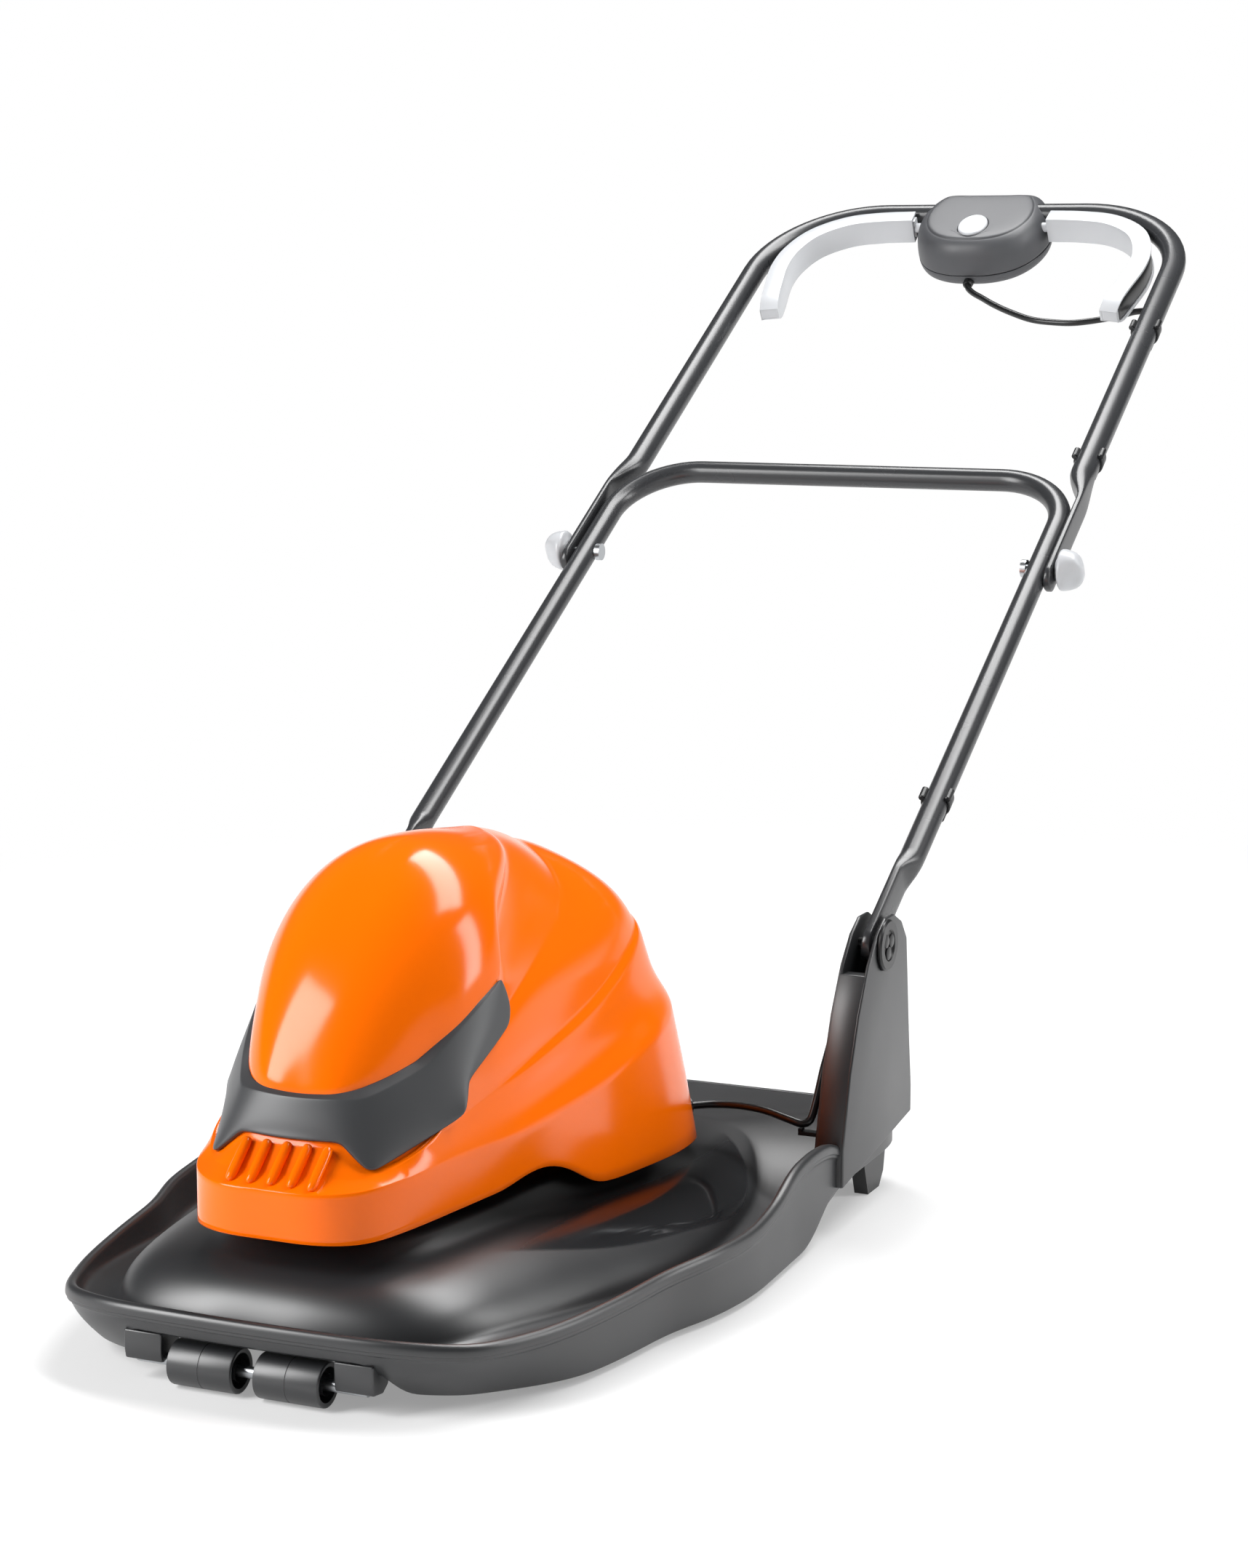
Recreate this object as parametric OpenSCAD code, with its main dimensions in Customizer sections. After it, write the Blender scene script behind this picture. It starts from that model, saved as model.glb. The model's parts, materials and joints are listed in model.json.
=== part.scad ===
// Hover mower with a moulded deck, a tall motor cover, two front rollers
// and a two-part folding tube handle. Millimetres, +Z up, front towards -Y.
// The origin lies on the ground, below the middle of the bounding box.

/* [Deck] */
// Width of the deck over its rim
deck_w = 468; // [440:1:500]
// Length of the deck from the front rim to the rear edge
deck_l = 691; // [660:1:730]
// Height of the rim at the front
rim_h = 56; // [52:0.5:62]
// Moulded wall of the deck
deck_wall = 3; // [2.4:0.1:3.6]
// Height of the gutter floor between rim and dome
gutter_h = 38; // [34:0.5:42]
// Height of the flat motor platform
plinth_h = 92; // [88:0.5:95]
// Ground clearance of the skirt
skirt_gap = 4; // [2:0.5:8]
// Half width of the front cut-out for the rollers
notch_hw = 104; // [101:0.5:110]
// Height of the front lip's lower edge above the ground
notch_h = 37; // [36:0.5:42]

/* [Cover] */
// Width of the motor cover
cover_w = 242; // [230:1:252]
// Length of the motor cover
cover_l = 490; // [475:1:500]
// Height of the motor cover above its front lower edge
cover_h = 241; // [232:1:255]
// Moulded wall of the cover
cover_wall = 3; // [2.4:0.1:3.6]
// Thickness of the front trim
trim_t = 3; // [2:0.1:4]
// Number of ribs on the front ledge
rib_n = 5; // [3:2:7]

/* [Brackets] */
// Distance between the outer faces of the two handle brackets
bracket_span = 464; // [456:1:480]
// Width of one handle bracket
bracket_w = 24; // [22:0.5:28]
// Wall of the handle bracket
bracket_wall = 3; // [2.4:0.1:3.6]
// Height of the handle pivot
pivot_z = 208; // [200:1:216]
// Place of the handle pivot behind the front rim, as a share of the deck's length
pivot_share = 0.87554; // [0.868:0.0005:0.886]
// Diameter of the pivot pin
pivot_d = 10; // [8:0.5:12]
// Diameter of the pivot head
pivot_head_d = 41; // [36:0.5:46]

/* [Handle] */
// Lean of the handle at rest, above the horizontal
handle_a = 31; // [28:0.5:40]
// Distance between the centres of the lower legs
lower_span = 446; // [438:1:450]
// Diameter of the lower tube
lower_d = 21; // [20:0.5:22]
// Length from the pivot to the middle bar
lower_l = 640; // [600:5:700]
// Bend of the lower tube, on its centre line
lower_bend = 72; // [60:1:85]
// Diameter of the upper tube
upper_d = 24; // [22:0.5:25]
// Length from the pivot to the grip bar
upper_l = 1128; // [1100:2:1160]
// Bend of the upper tube, on its centre line
upper_bend = 118; // [105:1:125]
// Distance between the centres of the upper legs
upper_span = 452; // [446:1:460]
// Wall of both tubes
tube_wall = 1.2; // [1:0.1:1.6]
// Distance of the clamp bolts from the pivot
bolt_l = 503; // [495:1:515]
// Diameter of the clamp bolts
bolt_d = 8; // [6:0.5:9]
// Diameter of the clamp knobs
knob_d = 38; // [32:0.5:42]

/* [Switch box] */
// Width of the switch box
box_w = 142; // [132:1:150]
// Length of the switch box along the handle
box_l = 120; // [112:1:128]
// Height of the switch box above the plane of the handle
box_up = 16; // [15:0.5:20]
// Depth of the switch box below the plane of the handle
box_down = 36; // [32:0.5:42]
// Wall of the switch box
box_wall = 2.5; // [2:0.1:3]
// Length of the lock button
button_l = 36; // [32:0.5:40]
// Width of the lock button
button_w = 28; // [24:0.5:32]
// Travel of the lock button
button_travel = 4; // [3:0.5:5]
// Depth of the bail's channel
bail_h = 22; // [20:0.5:26]
// Width of the bail's channel
bail_w = 14; // [12:0.5:16]

/* [Running gear] */
// Diameter of the front rollers
roller_d = 31; // [29:0.5:33]
// Length of one roller
roller_l = 49; // [46:0.5:52]
// Diameter of the roller axle
axle_d = 8; // [6:0.5:10]
// Cutting diameter of the blade
blade_d = 360; // [330:5:370]
// Diameter of the impeller
impeller_d = 220; // [200:2:230]
// Number of impeller vanes
vane_n = 8; // [6:1:10]
// Diameter of the motor can
motor_d = 92; // [84:1:96]
// Diameter of the lead
lead_d = 6.4; // [5.5:0.1:7]

/* [Hidden] */
$fn = 64;
over = 1;
gap = 0.3;
fit = 0.1;
touch = 0.02;

deck_hw = deck_w / 2;
pivot_y = pivot_share * deck_l;
cover_hw = cover_w / 2;
orange = "#f26a0a";
grey = "#4a4b4d";
dark = "#2b2c2e";
black = "#17181a";
steel = "#b9bcc0";
white = "#e6e7e8";
cast = "#8d9196";
iron = "#6f7377";
copper = "#8a6a45";
carbon = "#3a3532";

// General curves

// Point of a smooth curve between b and c
function cr(a, b, c, d, t) = b + 0.5 * t * (c - a + t * (2 * a - 5 * b + 4 * c - d
    + t * (3 * (b - c) + d - a)));
function flip(p) = [-p[0], p[1], p[2]];
// Half curve through a table, mirrored at both ends across x = 0
function at(tab, u) = let(n = len(tab) - 1, i = min(floor(u), n - 1), t = u - i,
    a = i > 0 ? tab[i - 1] : flip(tab[1]), d = i < n - 1 ? tab[i + 2] : flip(tab[n - 1]))
    cr(a, tab[i], tab[i + 1], d, t);
// Curve through free points, held at both ends
function along(tab, u) = let(n = len(tab) - 1, i = min(floor(u), n - 1), t = u - i,
    a = i > 0 ? tab[i - 1] : 2 * tab[0] - tab[1], d = i < n - 1 ? tab[i + 2] : 2 * tab[n] - tab[n - 1])
    cr(a, tab[i], tab[i + 1], d, t);
function half(tab, m) = let(n = (len(tab) - 1) * m) [for (j = [0:n]) at(tab, j / m)];
function ring(h) = concat(h, [for (j = [len(h) - 2:-1:1]) flip(h[j])]);
function sized(tab, w, l, h) = [for (p = tab) [p[0] * w, p[1] * l, p[2] * h]];
function moved(h, v) = [for (p = h) p + v];
function mix(a, b, t) = a + (b - a) * t;
function unit(v) = v / max(norm(v), 1e-9);
function step(t) = let(c = max(0, min(1, t))) c * c * (3 - 2 * c);

// Solid between rings of equal counts: a cap at each end, or closed upon itself
module skin(rings, loop = false, cap = undef) {
    n = len(rings[0]);
    m = len(rings);
    pts = [for (r = rings) each r];
    rows = loop ? m : m - 1;
    sides = [for (k = [0:rows - 1], j = [0:n - 1]) let(a = k * n + j, b = k * n + (j + 1) % n,
        c = ((k + 1) % m) * n + (j + 1) % n, d = ((k + 1) % m) * n + j) each [[a, d, c], [a, c, b]]];
    face = is_undef(cap) ? [[for (j = [0:n - 1]) j]] : cap;
    caps = loop ? [] : concat(face, [for (f = face) [for (k = [len(f) - 1:-1:0]) (m - 1) * n + f[k]]]);
    polyhedron(pts, concat(sides, caps), convexity = 8);
}
// Solid between two pole points with rings in between
module shell(first, rings, last) {
    n = len(rings[0]);
    m = len(rings);
    pts = concat([for (r = rings) each r], [first, last]);
    sides = [for (k = [0:m - 2], j = [0:n - 1]) let(a = k * n + j, b = k * n + (j + 1) % n,
        c = (k + 1) * n + (j + 1) % n, d = (k + 1) * n + j) each [[a, d, c], [a, c, b]]];
    fans = [for (j = [0:n - 1]) each [[m * n, j, (j + 1) % n],
        [m * n + 1, (m - 1) * n + (j + 1) % n, (m - 1) * n + j]]];
    polyhedron(pts, concat(sides, fans), convexity = 8);
}
// Section swept along a path, square to it; ref is a direction that the path never takes
function frame_at(path, i, ref) = let(n = len(path) - 1,
    t = unit(path[min(i + 1, n)] - path[max(i - 1, 0)]), u = unit(cross(t, ref)), v = cross(t, u)) [u, v];
function swept(path, sec, ref) = [for (i = [0:len(path) - 1]) let(f = frame_at(path, i, ref))
    [for (s = sec) path[i] + s[0] * f[0] + s[1] * f[1]]];
function round_sec(d, n) = [for (k = [0:n - 1]) d / 2 * [cos(360 * k / n), sin(360 * k / n)]];
module cord(route, m, ref) {
    n = (len(route) - 1) * m;
    skin(swept([for (j = [0:n]) along(route, j / m)], round_sec(lead_d, 8), ref));
}

// Place of the whole: y runs from the front rim in the modules below
box_back = 32.5;
box_rear = upper_l + box_back;
rear_y = pivot_y + box_rear * cos(handle_a) + box_down * sin(handle_a);
mid_y = rear_y / 2;
module place() { translate([0, -mid_y, 0]) children(); }
// Frame of the handle: y along the legs from the pivot, z square to its plane
module on_handle() { place() translate([0, pivot_y, pivot_z]) rotate([handle_a, 0, 0]) children(); }
module both() { children(); mirror([1, 0, 0]) children(); }
module rod_x(r, x0, x1) { translate([x0, 0, 0]) rotate([0, 90, 0]) cylinder(r = r, h = x1 - x0); }
// Side outline in y and z, stretched from x0 to x1
module plate_x(pts, x0, x1) {
    translate([x0, 0, 0]) rotate([90, 0, 90]) linear_extrude(height = x1 - x0) polygon(pts);
}

// Deck

// Rim: shares of half width, length and rim height, from the front centre to the rear centre
rim_shares = [[0, 0, 1], [0.25, 0.0017, 1], [0.47, 0.011, 0.98], [0.655, 0.044, 0.92], [0.75, 0.103, 0.87],
    [0.815, 0.17, 0.86], [0.868, 0.255, 0.88], [0.905, 0.33, 0.91], [0.968, 0.4, 0.95], [1, 0.475, 0.98],
    [0.998, 0.545, 1.1], [0.99, 0.615, 1.36], [0.985, 0.705, 1.36], [0.975, 0.78, 1.1], [0.97, 0.87, 1.05],
    [0.955, 0.96, 1.05], [0.85, 0.995, 1.05], [0.45, 1, 1.05], [0, 1, 1.05]];
// Foot of the dome: shares of half width and length, and of the gutter height
foot_shares = [[0, 0.028, 1], [0.2, 0.029, 1], [0.4, 0.042, 1], [0.52, 0.07, 1], [0.6, 0.118, 1],
    [0.668, 0.185, 1], [0.735, 0.265, 1], [0.78, 0.335, 1], [0.82, 0.4, 1], [0.846, 0.475, 1],
    [0.84, 0.54, 1.05], [0.82, 0.605, 1.25], [0.775, 0.68, 1.45], [0.7, 0.745, 1.5], [0.6, 0.805, 1.5],
    [0.48, 0.84, 1.5], [0.32, 0.858, 1.5], [0.16, 0.865, 1.5], [0, 0.867, 1.5]];
// Shoulder of the dome: shares of half width, length and platform height
brow_shares = [[0, 0.096, 0.86], [0.14, 0.098, 0.86], [0.24, 0.112, 0.86], [0.31, 0.142, 0.86],
    [0.355, 0.182, 0.86], [0.385, 0.232, 0.86], [0.41, 0.285, 0.85], [0.43, 0.34, 0.82], [0.45, 0.4, 0.78],
    [0.462, 0.46, 0.74], [0.465, 0.52, 0.7], [0.455, 0.58, 0.66], [0.43, 0.635, 0.63], [0.375, 0.675, 0.61],
    [0.3, 0.702, 0.6], [0.21, 0.718, 0.6], [0.14, 0.724, 0.6], [0.07, 0.727, 0.6], [0, 0.728, 0.6]];
deck_m = 2;
lip_t = 9;
lip_shares = [[0, 0.55], [0.12, 0.16], [0.5, 0], [0.9, 0.14], [1, 0.6]];
gutter_draft = 2;
skirt_draft = 3;
groove = 1;
flank_rows = 6;
flank_bulge_share = 0.84;
plinth_inset_share = 0.9;
spindle_y = deck_l * 0.459;
hub_r = 56;
hole_r = 34;
rear_rise = 28;
rear_rise_y = deck_l * 0.64;
notch_r = 12;
notch_y = deck_l * 0.08;

rim_half = half(sized(rim_shares, deck_hw, deck_l, rim_h), deck_m);
foot_half = half(sized(foot_shares, deck_hw, deck_l, gutter_h), deck_m);
brow_half = half(sized(brow_shares, deck_hw, deck_l, plinth_h), deck_m);
deck_n = len(rim_half) - 1;
// Inward direction in plan at point j of the rim
function inward(j) = let(a = j > 0 ? rim_half[j - 1] : flip(rim_half[1]),
    b = j < deck_n ? rim_half[j + 1] : flip(rim_half[deck_n - 1]), t = unit([b[0] - a[0], b[1] - a[1]]))
    [-t[1], t[0], 0];
function inset(j, d) = let(p = rim_half[j] + inward(j) * d) [max(0, p[0]), p[1], 0];
// Lower edge of the skirt: raised for the rollers and towards the rear
corner_rise = 5;
corner_draft = 34;
function hem(p) = skirt_gap + corner_rise * (1 - step(p[1] / (deck_l * 0.25)))
    + rear_rise * step((p[1] - rear_rise_y) / (deck_l * 0.1));
function skirt_top(j) = rim_half[j][2] - 1.2 * lip_t;
// Inset of the skirt at height z: it is drawn in below the front corners
function bowl(j, z) = let(u = max(0, min(1, (skirt_top(j) - z) / (skirt_top(j) - skirt_gap))))
    skirt_draft + corner_draft * u * sqrt(u) * (1 - step(rim_half[j][1] / (deck_l * 0.2)));
function skirt_row(d, t, top) = [for (j = [0:deck_n])
    let(z = mix(hem(rim_half[j]), top ? skirt_top(j) : gut_z(j) - deck_wall, t), p = inset(j, bowl(j, z) + d))
    [p[0], p[1], z]];
skirt_rows = [0, 0.25, 0.5, 0.75];
function rim_ring(d, s) = [for (j = [0:deck_n]) let(p = inset(j, d * lip_t))
    [p[0], p[1], rim_half[j][2] - s * lip_t]];
function gut_z(j) = foot_half[j][2];
function gut_ring(d, dz) = [for (j = [0:deck_n]) let(p = inset(j, d)) [p[0], p[1], gut_z(j) + dz]];
// Arch from the foot of the dome to its shoulder
function arch(a, b, t, bulge) = let(l = mix(a, b, t), e = [mix(a[0], b[0], 1 - cos(90 * t)),
    mix(a[1], b[1], 1 - cos(90 * t)), mix(a[2], b[2], sin(90 * t))]) mix(l, e, bulge);
function flank(t) = [for (j = [0:deck_n]) arch(foot_half[j], brow_half[j], t, flank_bulge_share)];
// Inside of the flank: set inwards at its foot and downwards at its shoulder
function flank_inside(t) = [for (j = [0:deck_n])
    let(p = arch(foot_half[j], brow_half[j], t, flank_bulge_share) + inward(j) * deck_wall * (1 - t))
    [max(0, p[0]), p[1], p[2] - deck_wall * (1 + 0.6 * t)]];
axis_y = deck_l * 0.42;
function drawn(h, k, z) = [for (p = h) [p[0] * k, axis_y + (p[1] - axis_y) * k, z]];
function hub_ring(r, z) = [for (j = [0:deck_n]) let(a = 180 * j / deck_n)
    [r * sin(a), spindle_y - r * cos(a), z]];
module deck_loft() {
    outer = concat([for (t = skirt_rows) skirt_row(0, t, true)],
        [rim_ring(groove / lip_t, 1.2), rim_ring(groove / lip_t, 0.95)],
        [for (s = lip_shares) rim_ring(s[0], s[1])],
        [gut_ring(lip_t + gutter_draft, 0)],
        [for (k = [0:flank_rows]) flank(k / flank_rows)],
        [drawn(brow_half, plinth_inset_share, plinth_h - deck_wall),
        drawn(brow_half, plinth_inset_share, plinth_h), hub_ring(hub_r, plinth_h),
        hub_ring(hole_r, plinth_h)]);
    inner_k = plinth_inset_share * (1 - deck_wall / (deck_hw * 0.4));
    inner = concat([hub_ring(hole_r, plinth_h - deck_wall), hub_ring(hub_r, plinth_h - deck_wall),
        drawn(brow_half, inner_k, plinth_h - deck_wall)],
        [for (k = [flank_rows:-1:0]) flank_inside(k / flank_rows)],
        [gut_ring(lip_t + gutter_draft, -deck_wall)],
        [for (t = [1, 0.67, 0.33, 0]) skirt_row(deck_wall, t, false)]);
    skin([for (h = concat(outer, inner)) ring(h)], loop = true);
}
// Seat of a handle bracket: its lower front corner, and shares of its length and height
bracket_l = 160;
bracket_h = 165;
bracket_back = 91;
bracket_drop = 144;
bracket_y = pivot_y - bracket_back;
bracket_z = pivot_z - bracket_drop;
bracket_x = bracket_span / 2 - bracket_w;
bracket_shares = [[0, 0], [0.094, 0.339], [0.206, 0.6], [0.3375, 0.812], [0.4625, 0.939], [0.575, 1],
    [0.7, 1], [0.819, 0.945], [0.9, 0.85], [0.9625, 0.339], [1, 0.09]];
bracket_out = [for (p = bracket_shares) [bracket_y + p[0] * bracket_l, bracket_z + p[1] * bracket_h]];
// The bracket stands on the gutter floor and is let into the rim
seat_z = foot_shares[14][2] * gutter_h - fit;
seat_front = [bracket_y, seat_z];
seat_rear = [bracket_y + bracket_l, seat_z];
bracket_side = concat([seat_front], bracket_out, [seat_rear]);
// Front cut-out below the lip, with round upper corners
module notch(h, l) {
    x = notch_hw - notch_r;
    translate([0, l, 0]) rotate([90, 0, 0]) linear_extrude(height = l + over) {
        translate([-notch_hw, -over]) square([2 * notch_hw, h - notch_r + over]);
        translate([-x, 0]) square([2 * x, h]);
        for (s = [-1, 1]) translate([s * x, h - notch_r]) circle(r = notch_r);
    }
}
module deck_hood() {
    color(grey) place() difference() {
        deck_loft();
        notch(notch_h, lip_t);
        notch(gutter_h - deck_wall - touch, notch_y);
        both() plate_x(bracket_side, bracket_x, bracket_x + bracket_w + over);
        cover_posts() translate([0, 0, plinth_h - deck_wall - over])
            cylinder(d = screw_d + gap, h = deck_wall + 2 * over);
        at_exit() rod_x(exit_r + gap, -exit_l, exit_l);
    }
}

// Handle bracket: two plates, a front wall up to the sill, a rear wall and the rest stop
sill_i = 3;
leg_flat_t = 8;
leg_flat_h = 28;
stop_shares = [0.66, 1.05];
leg_x = bracket_x + bracket_w / 2;
module bracket_body() {
    front = [for (k = [0:sill_i]) bracket_side[k]];
    rear = [bracket_out[8], bracket_out[9], bracket_out[10], seat_rear];
    x0 = bracket_x;
    x1 = bracket_x + bracket_w;
    in0 = x0 + bracket_wall - touch;
    in1 = x1 - bracket_wall + touch;
    difference() {
        intersection() {
            plate_x(bracket_side, x0, x1);
            union() {
                plate_x(bracket_side, x1 - bracket_wall, x1);
                plate_x(bracket_side, x0, x0 + bracket_wall);
                plate_x(concat(front, [for (k = [sill_i:-1:0]) front[k] + [bracket_wall, 0]]), in0, in1);
                plate_x(concat(rear, [for (k = [3:-1:0]) rear[k] - [bracket_wall, 0]]), in0, in1);
                plate_x([seat_front, seat_rear, seat_rear + [0, bracket_wall], seat_front + [0, bracket_wall]],
                    in0, in1);
                translate([0, pivot_y, pivot_z]) rotate([handle_a, 0, 0])
                    translate([in0, leg_flat_h * stop_shares[0], -leg_flat_h * stop_shares[1]])
                    cube([in1 - in0, leg_flat_h, leg_flat_h * (stop_shares[1] - 0.5) - gap]);
            }
        }
        translate([0, pivot_y, pivot_z]) rod_x(pivot_d / 2 + touch, x0 - over, x1 + over);
    }
}
module bracket_right() { color(grey) place() bracket_body(); }
module bracket_left() { color(grey) place() mirror([1, 0, 0]) bracket_body(); }

// Pivot pin pressed into the bracket, with its round, three-lobed head
pivot_head_t = 4;
module pivot_body() {
    x1 = bracket_x + bracket_w;
    translate([0, pivot_y, pivot_z]) difference() {
        union() {
            rod_x(pivot_d / 2, bracket_x - bracket_wall, x1 + pivot_head_t / 2);
            translate([x1 + touch, 0, 0]) rotate([0, 90, 0]) rotate_extrude()
                polygon([[0, 0], [pivot_head_d / 2, 0], [pivot_head_d / 2, pivot_head_t * 0.6],
                [pivot_head_d / 2 - pivot_head_t * 0.4, pivot_head_t], [0, pivot_head_t]]);
        }
        for (k = [0:2]) translate([x1 + touch + pivot_head_t / 2, 0, 0]) rotate([120 * k, 0, 0])
            translate([0, pivot_head_d * 0.24, 0]) rod_x(pivot_head_d * 0.13, 0, pivot_head_t);
    }
}
module pivot_pin_right() { color(black) place() pivot_body(); }
module pivot_pin_left() { color(black) place() mirror([1, 0, 0]) pivot_body(); }

// Motor cover

// Guide lines from the front centre to the rear centre, as shares of half width, length and height
cover_y = deck_l * 0.0565;
cover_lift = 8;
cover_z = plinth_h + cover_lift;
edge_shares = [[0, 0, 0], [0.314, 0.004, 0], [0.545, 0.041, 0], [0.663, 0.129, 0.004], [0.754, 0.241, 0.01],
    [0.845, 0.373, 0.004], [0.967, 0.547, -0.083], [1, 0.72, -0.12], [1, 0.88, -0.141],
    [0.83, 0.985, -0.149], [0, 1, -0.149]];
band_shares = [[0, -0.004, 0.145], [0.306, 0, 0.145], [0.535, 0.041, 0.149], [0.67, 0.112, 0.162],
    [0.765, 0.231, 0.17], [0.873, 0.37, 0.17], [0.925, 0.531, 0.178], [0.954, 0.659, 0.203],
    [0.94, 0.825, 0.249], [0.79, 0.955, 0.332], [0, 0.972, 0.357]];
ledge_shares = [[0, 0.041, 0.154], [0.289, 0.045, 0.154], [0.5, 0.071, 0.17], [0.687, 0.141, 0.203],
    [0.777, 0.243, 0.245], [0.847, 0.355, 0.294], [0.872, 0.478, 0.357], [0.84, 0.639, 0.407],
    [0.815, 0.795, 0.502], [0.68, 0.9, 0.61], [0, 0.92, 0.656]];
brim_shares = [[0, 0.063, 0.241], [0.281, 0.067, 0.237], [0.485, 0.08, 0.187], [0.645, 0.176, 0.228],
    [0.742, 0.247, 0.348], [0.759, 0.38, 0.506], [0.727, 0.484, 0.593], [0.64, 0.612, 0.656],
    [0.57, 0.69, 0.71], [0.385, 0.745, 0.78], [0, 0.765, 0.85]];
dome_shares = [[0, 0.088, 0.373], [0.248, 0.094, 0.378], [0.43, 0.139, 0.398], [0.562, 0.21, 0.448],
    [0.665, 0.272, 0.527], [0.722, 0.359, 0.614], [0.645, 0.388, 0.739], [0.545, 0.445, 0.826],
    [0.413, 0.547, 0.866], [0.25, 0.66, 0.872], [0, 0.735, 0.862]];
apex_share = [0, 0.42, 1];
cover_m = 3;
function on_cover(tab) = moved(half(sized(tab, cover_hw, cover_l, cover_h), cover_m), [0, cover_y, cover_z]);
edge_half = on_cover(edge_shares);
band_half = on_cover(band_shares);
ledge_half = on_cover(ledge_shares);
brim_half = on_cover(brim_shares);
dome_half = on_cover(dome_shares);
apex = [0, cover_y + apex_share[1] * cover_l, cover_z + cover_h];
cover_n = len(edge_half) - 1;
tip_j = 5 * cover_m;
function rows(a, b, ts, bulge) = [for (t = ts) [for (j = [0:cover_n]) arch(a[j], b[j], t, bulge)]];
function dome_bulge(j) = let(u = j / cover_n) 0.5 + 0.4 * sin(180 * u);
dome_rows = [0.2, 0.4, 0.6, 0.8];
cover_rows = concat([edge_half], rows(edge_half, band_half, [0.5], 0.1), [band_half],
    rows(band_half, ledge_half, [0.35, 0.7], -0.3), [ledge_half],
    rows(ledge_half, brim_half, [0.25, 0.5, 0.75], 0.85), [brim_half],
    rows(brim_half, dome_half, [0.33, 0.67], -0.25), [dome_half],
    [for (t = dome_rows) [for (j = [0:cover_n]) arch(dome_half[j], apex, t, dome_bulge(j))]]);
brim_k = 9;
spine_share = [0.2, 0.75, 0.2];
// Direction from a point of the cover towards its inside
function inside(p) = let(y0 = cover_y + spine_share[0] * cover_l, y1 = cover_y + spine_share[1] * cover_l,
    c = [0, max(y0, min(y1, p[1])), min(p[2], cover_z + spine_share[2] * cover_h)]) unit(c - p);
function inner_row(h) = [for (p = h) let(q = p + cover_wall * inside(p)) [max(0, q[0]), q[1], q[2]]];
post_shares = [[0.42, 0.19], [0.62, 0.76]];
screw_d = 4;
post_r = 6;
module cover_posts() {
    both() for (s = post_shares) translate([s[0] * cover_hw, cover_y + s[1] * cover_l, 0]) children();
}
rib_d = 6.4;
rib_pitch = 13.5;
arch_shares = [0.408, -0.27, 0.311];
module cover_shell() {
    m = len(cover_rows);
    shell(apex - [0, 0, cover_wall], concat([for (k = [m - 1:-1:0]) ring(inner_row(cover_rows[k]))],
        [for (h = cover_rows) ring(h)]), apex);
}
module motor_cover() {
    foot = ledge_half[0] + [0, -rib_d * 0.3, -rib_d * 0.3];
    head = brim_half[0] + [0, -rib_d * 0.1, -rib_d * 0.5];
    lean = atan2(head[1] - foot[1], head[2] - foot[2]);
    color(orange) place() difference() {
        union() {
            cover_shell();
            for (k = [0:rib_n - 1]) translate([(k - (rib_n - 1) / 2) * rib_pitch, foot[1], foot[2]])
                rotate([-lean, 0, 0]) {
                    cylinder(d = rib_d, h = norm(head - foot), $fn = 24);
                    sphere(d = rib_d, $fn = 24);
                }
            both() for (k = [0:1]) let(s = post_shares[k], x = s[0] * cover_hw, y = cover_y + s[1] * cover_l) {
                translate([x, y, plinth_h]) cylinder(r = post_r, h = cover_h * 0.16);
                translate([x, y - cover_wall / 2, cover_z + cover_h * 0.05])
                    cube([post_wall_x[k] - x, cover_wall, cover_h * 0.07]);
            }
        }
        translate([0, cover_y + arch_shares[0] * cover_l, cover_z + arch_shares[1] * cover_h])
            rod_x(arch_shares[2] * cover_h, -cover_w, cover_w);
        at_exit() rod_x(exit_r + touch, -exit_l - over, exit_l);
        cover_posts() translate([0, 0, plinth_h - over]) cylinder(d = screw_d, h = cover_h * 0.12 + over);
    }
}
// Trim on the cover between the brim line and the foot of the front dome, ending in two tips
trim_k = [for (k = [0:3]) brim_k + k];
trim_rise_shares = [0.55, 1, 1, 0.45];
function signed(k, j) = j >= 0 ? cover_rows[k][j] : flip(cover_rows[k][-j]);
function side_rise(j) = abs(j) == tip_j ? 0.45 : 1;
module front_trim() {
    n = 2 * tip_j + 1;
    low = [for (k = trim_k) [for (j = [-tip_j:tip_j]) signed(k, j)]];
    top = [for (i = [0:3]) [for (j = [-tip_j:tip_j]) let(p = signed(trim_k[i], j))
        p - inside(p) * trim_t * trim_rise_shares[i] * side_rise(j)]];
    pts = concat([for (h = low) each h], [for (h = top) each h]);
    q = 4 * n;
    under = [for (k = [0:2], j = [0:n - 2]) let(a = k * n + j, b = a + 1, d = a + n, c = d + 1)
        each [[a, b, c], [a, c, d]]];
    upper = [for (f = under) [f[2] + q, f[1] + q, f[0] + q]];
    edge = concat([for (j = [0:n - 1]) j], [for (k = [1:3]) k * n + n - 1], [for (j = [n - 2:-1:0]) 3 * n + j],
        [for (k = [2:-1:1]) k * n]);
    rim = [for (i = [0:len(edge) - 1]) let(a = edge[i], b = edge[(i + 1) % len(edge)])
        each [[a, a + q, b + q], [a, b + q, b]]];
    color(grey) place() polyhedron(pts, concat(under, upper, rim), convexity = 6);
}
post_wall_x = [cover_hw * 0.705, cover_hw * 0.955];
screw_head_t = 2.4;
module cover_screws() {
    color(steel) place() cover_posts() translate([0, 0, plinth_h - deck_wall]) {
        translate([0, 0, -screw_head_t]) cylinder(d = 2 * screw_d, h = screw_head_t);
        cylinder(d = screw_d - fit, h = deck_wall + cover_h * 0.1);
    }
}

// Front rollers on their axle, between two supports under the lip

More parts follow.
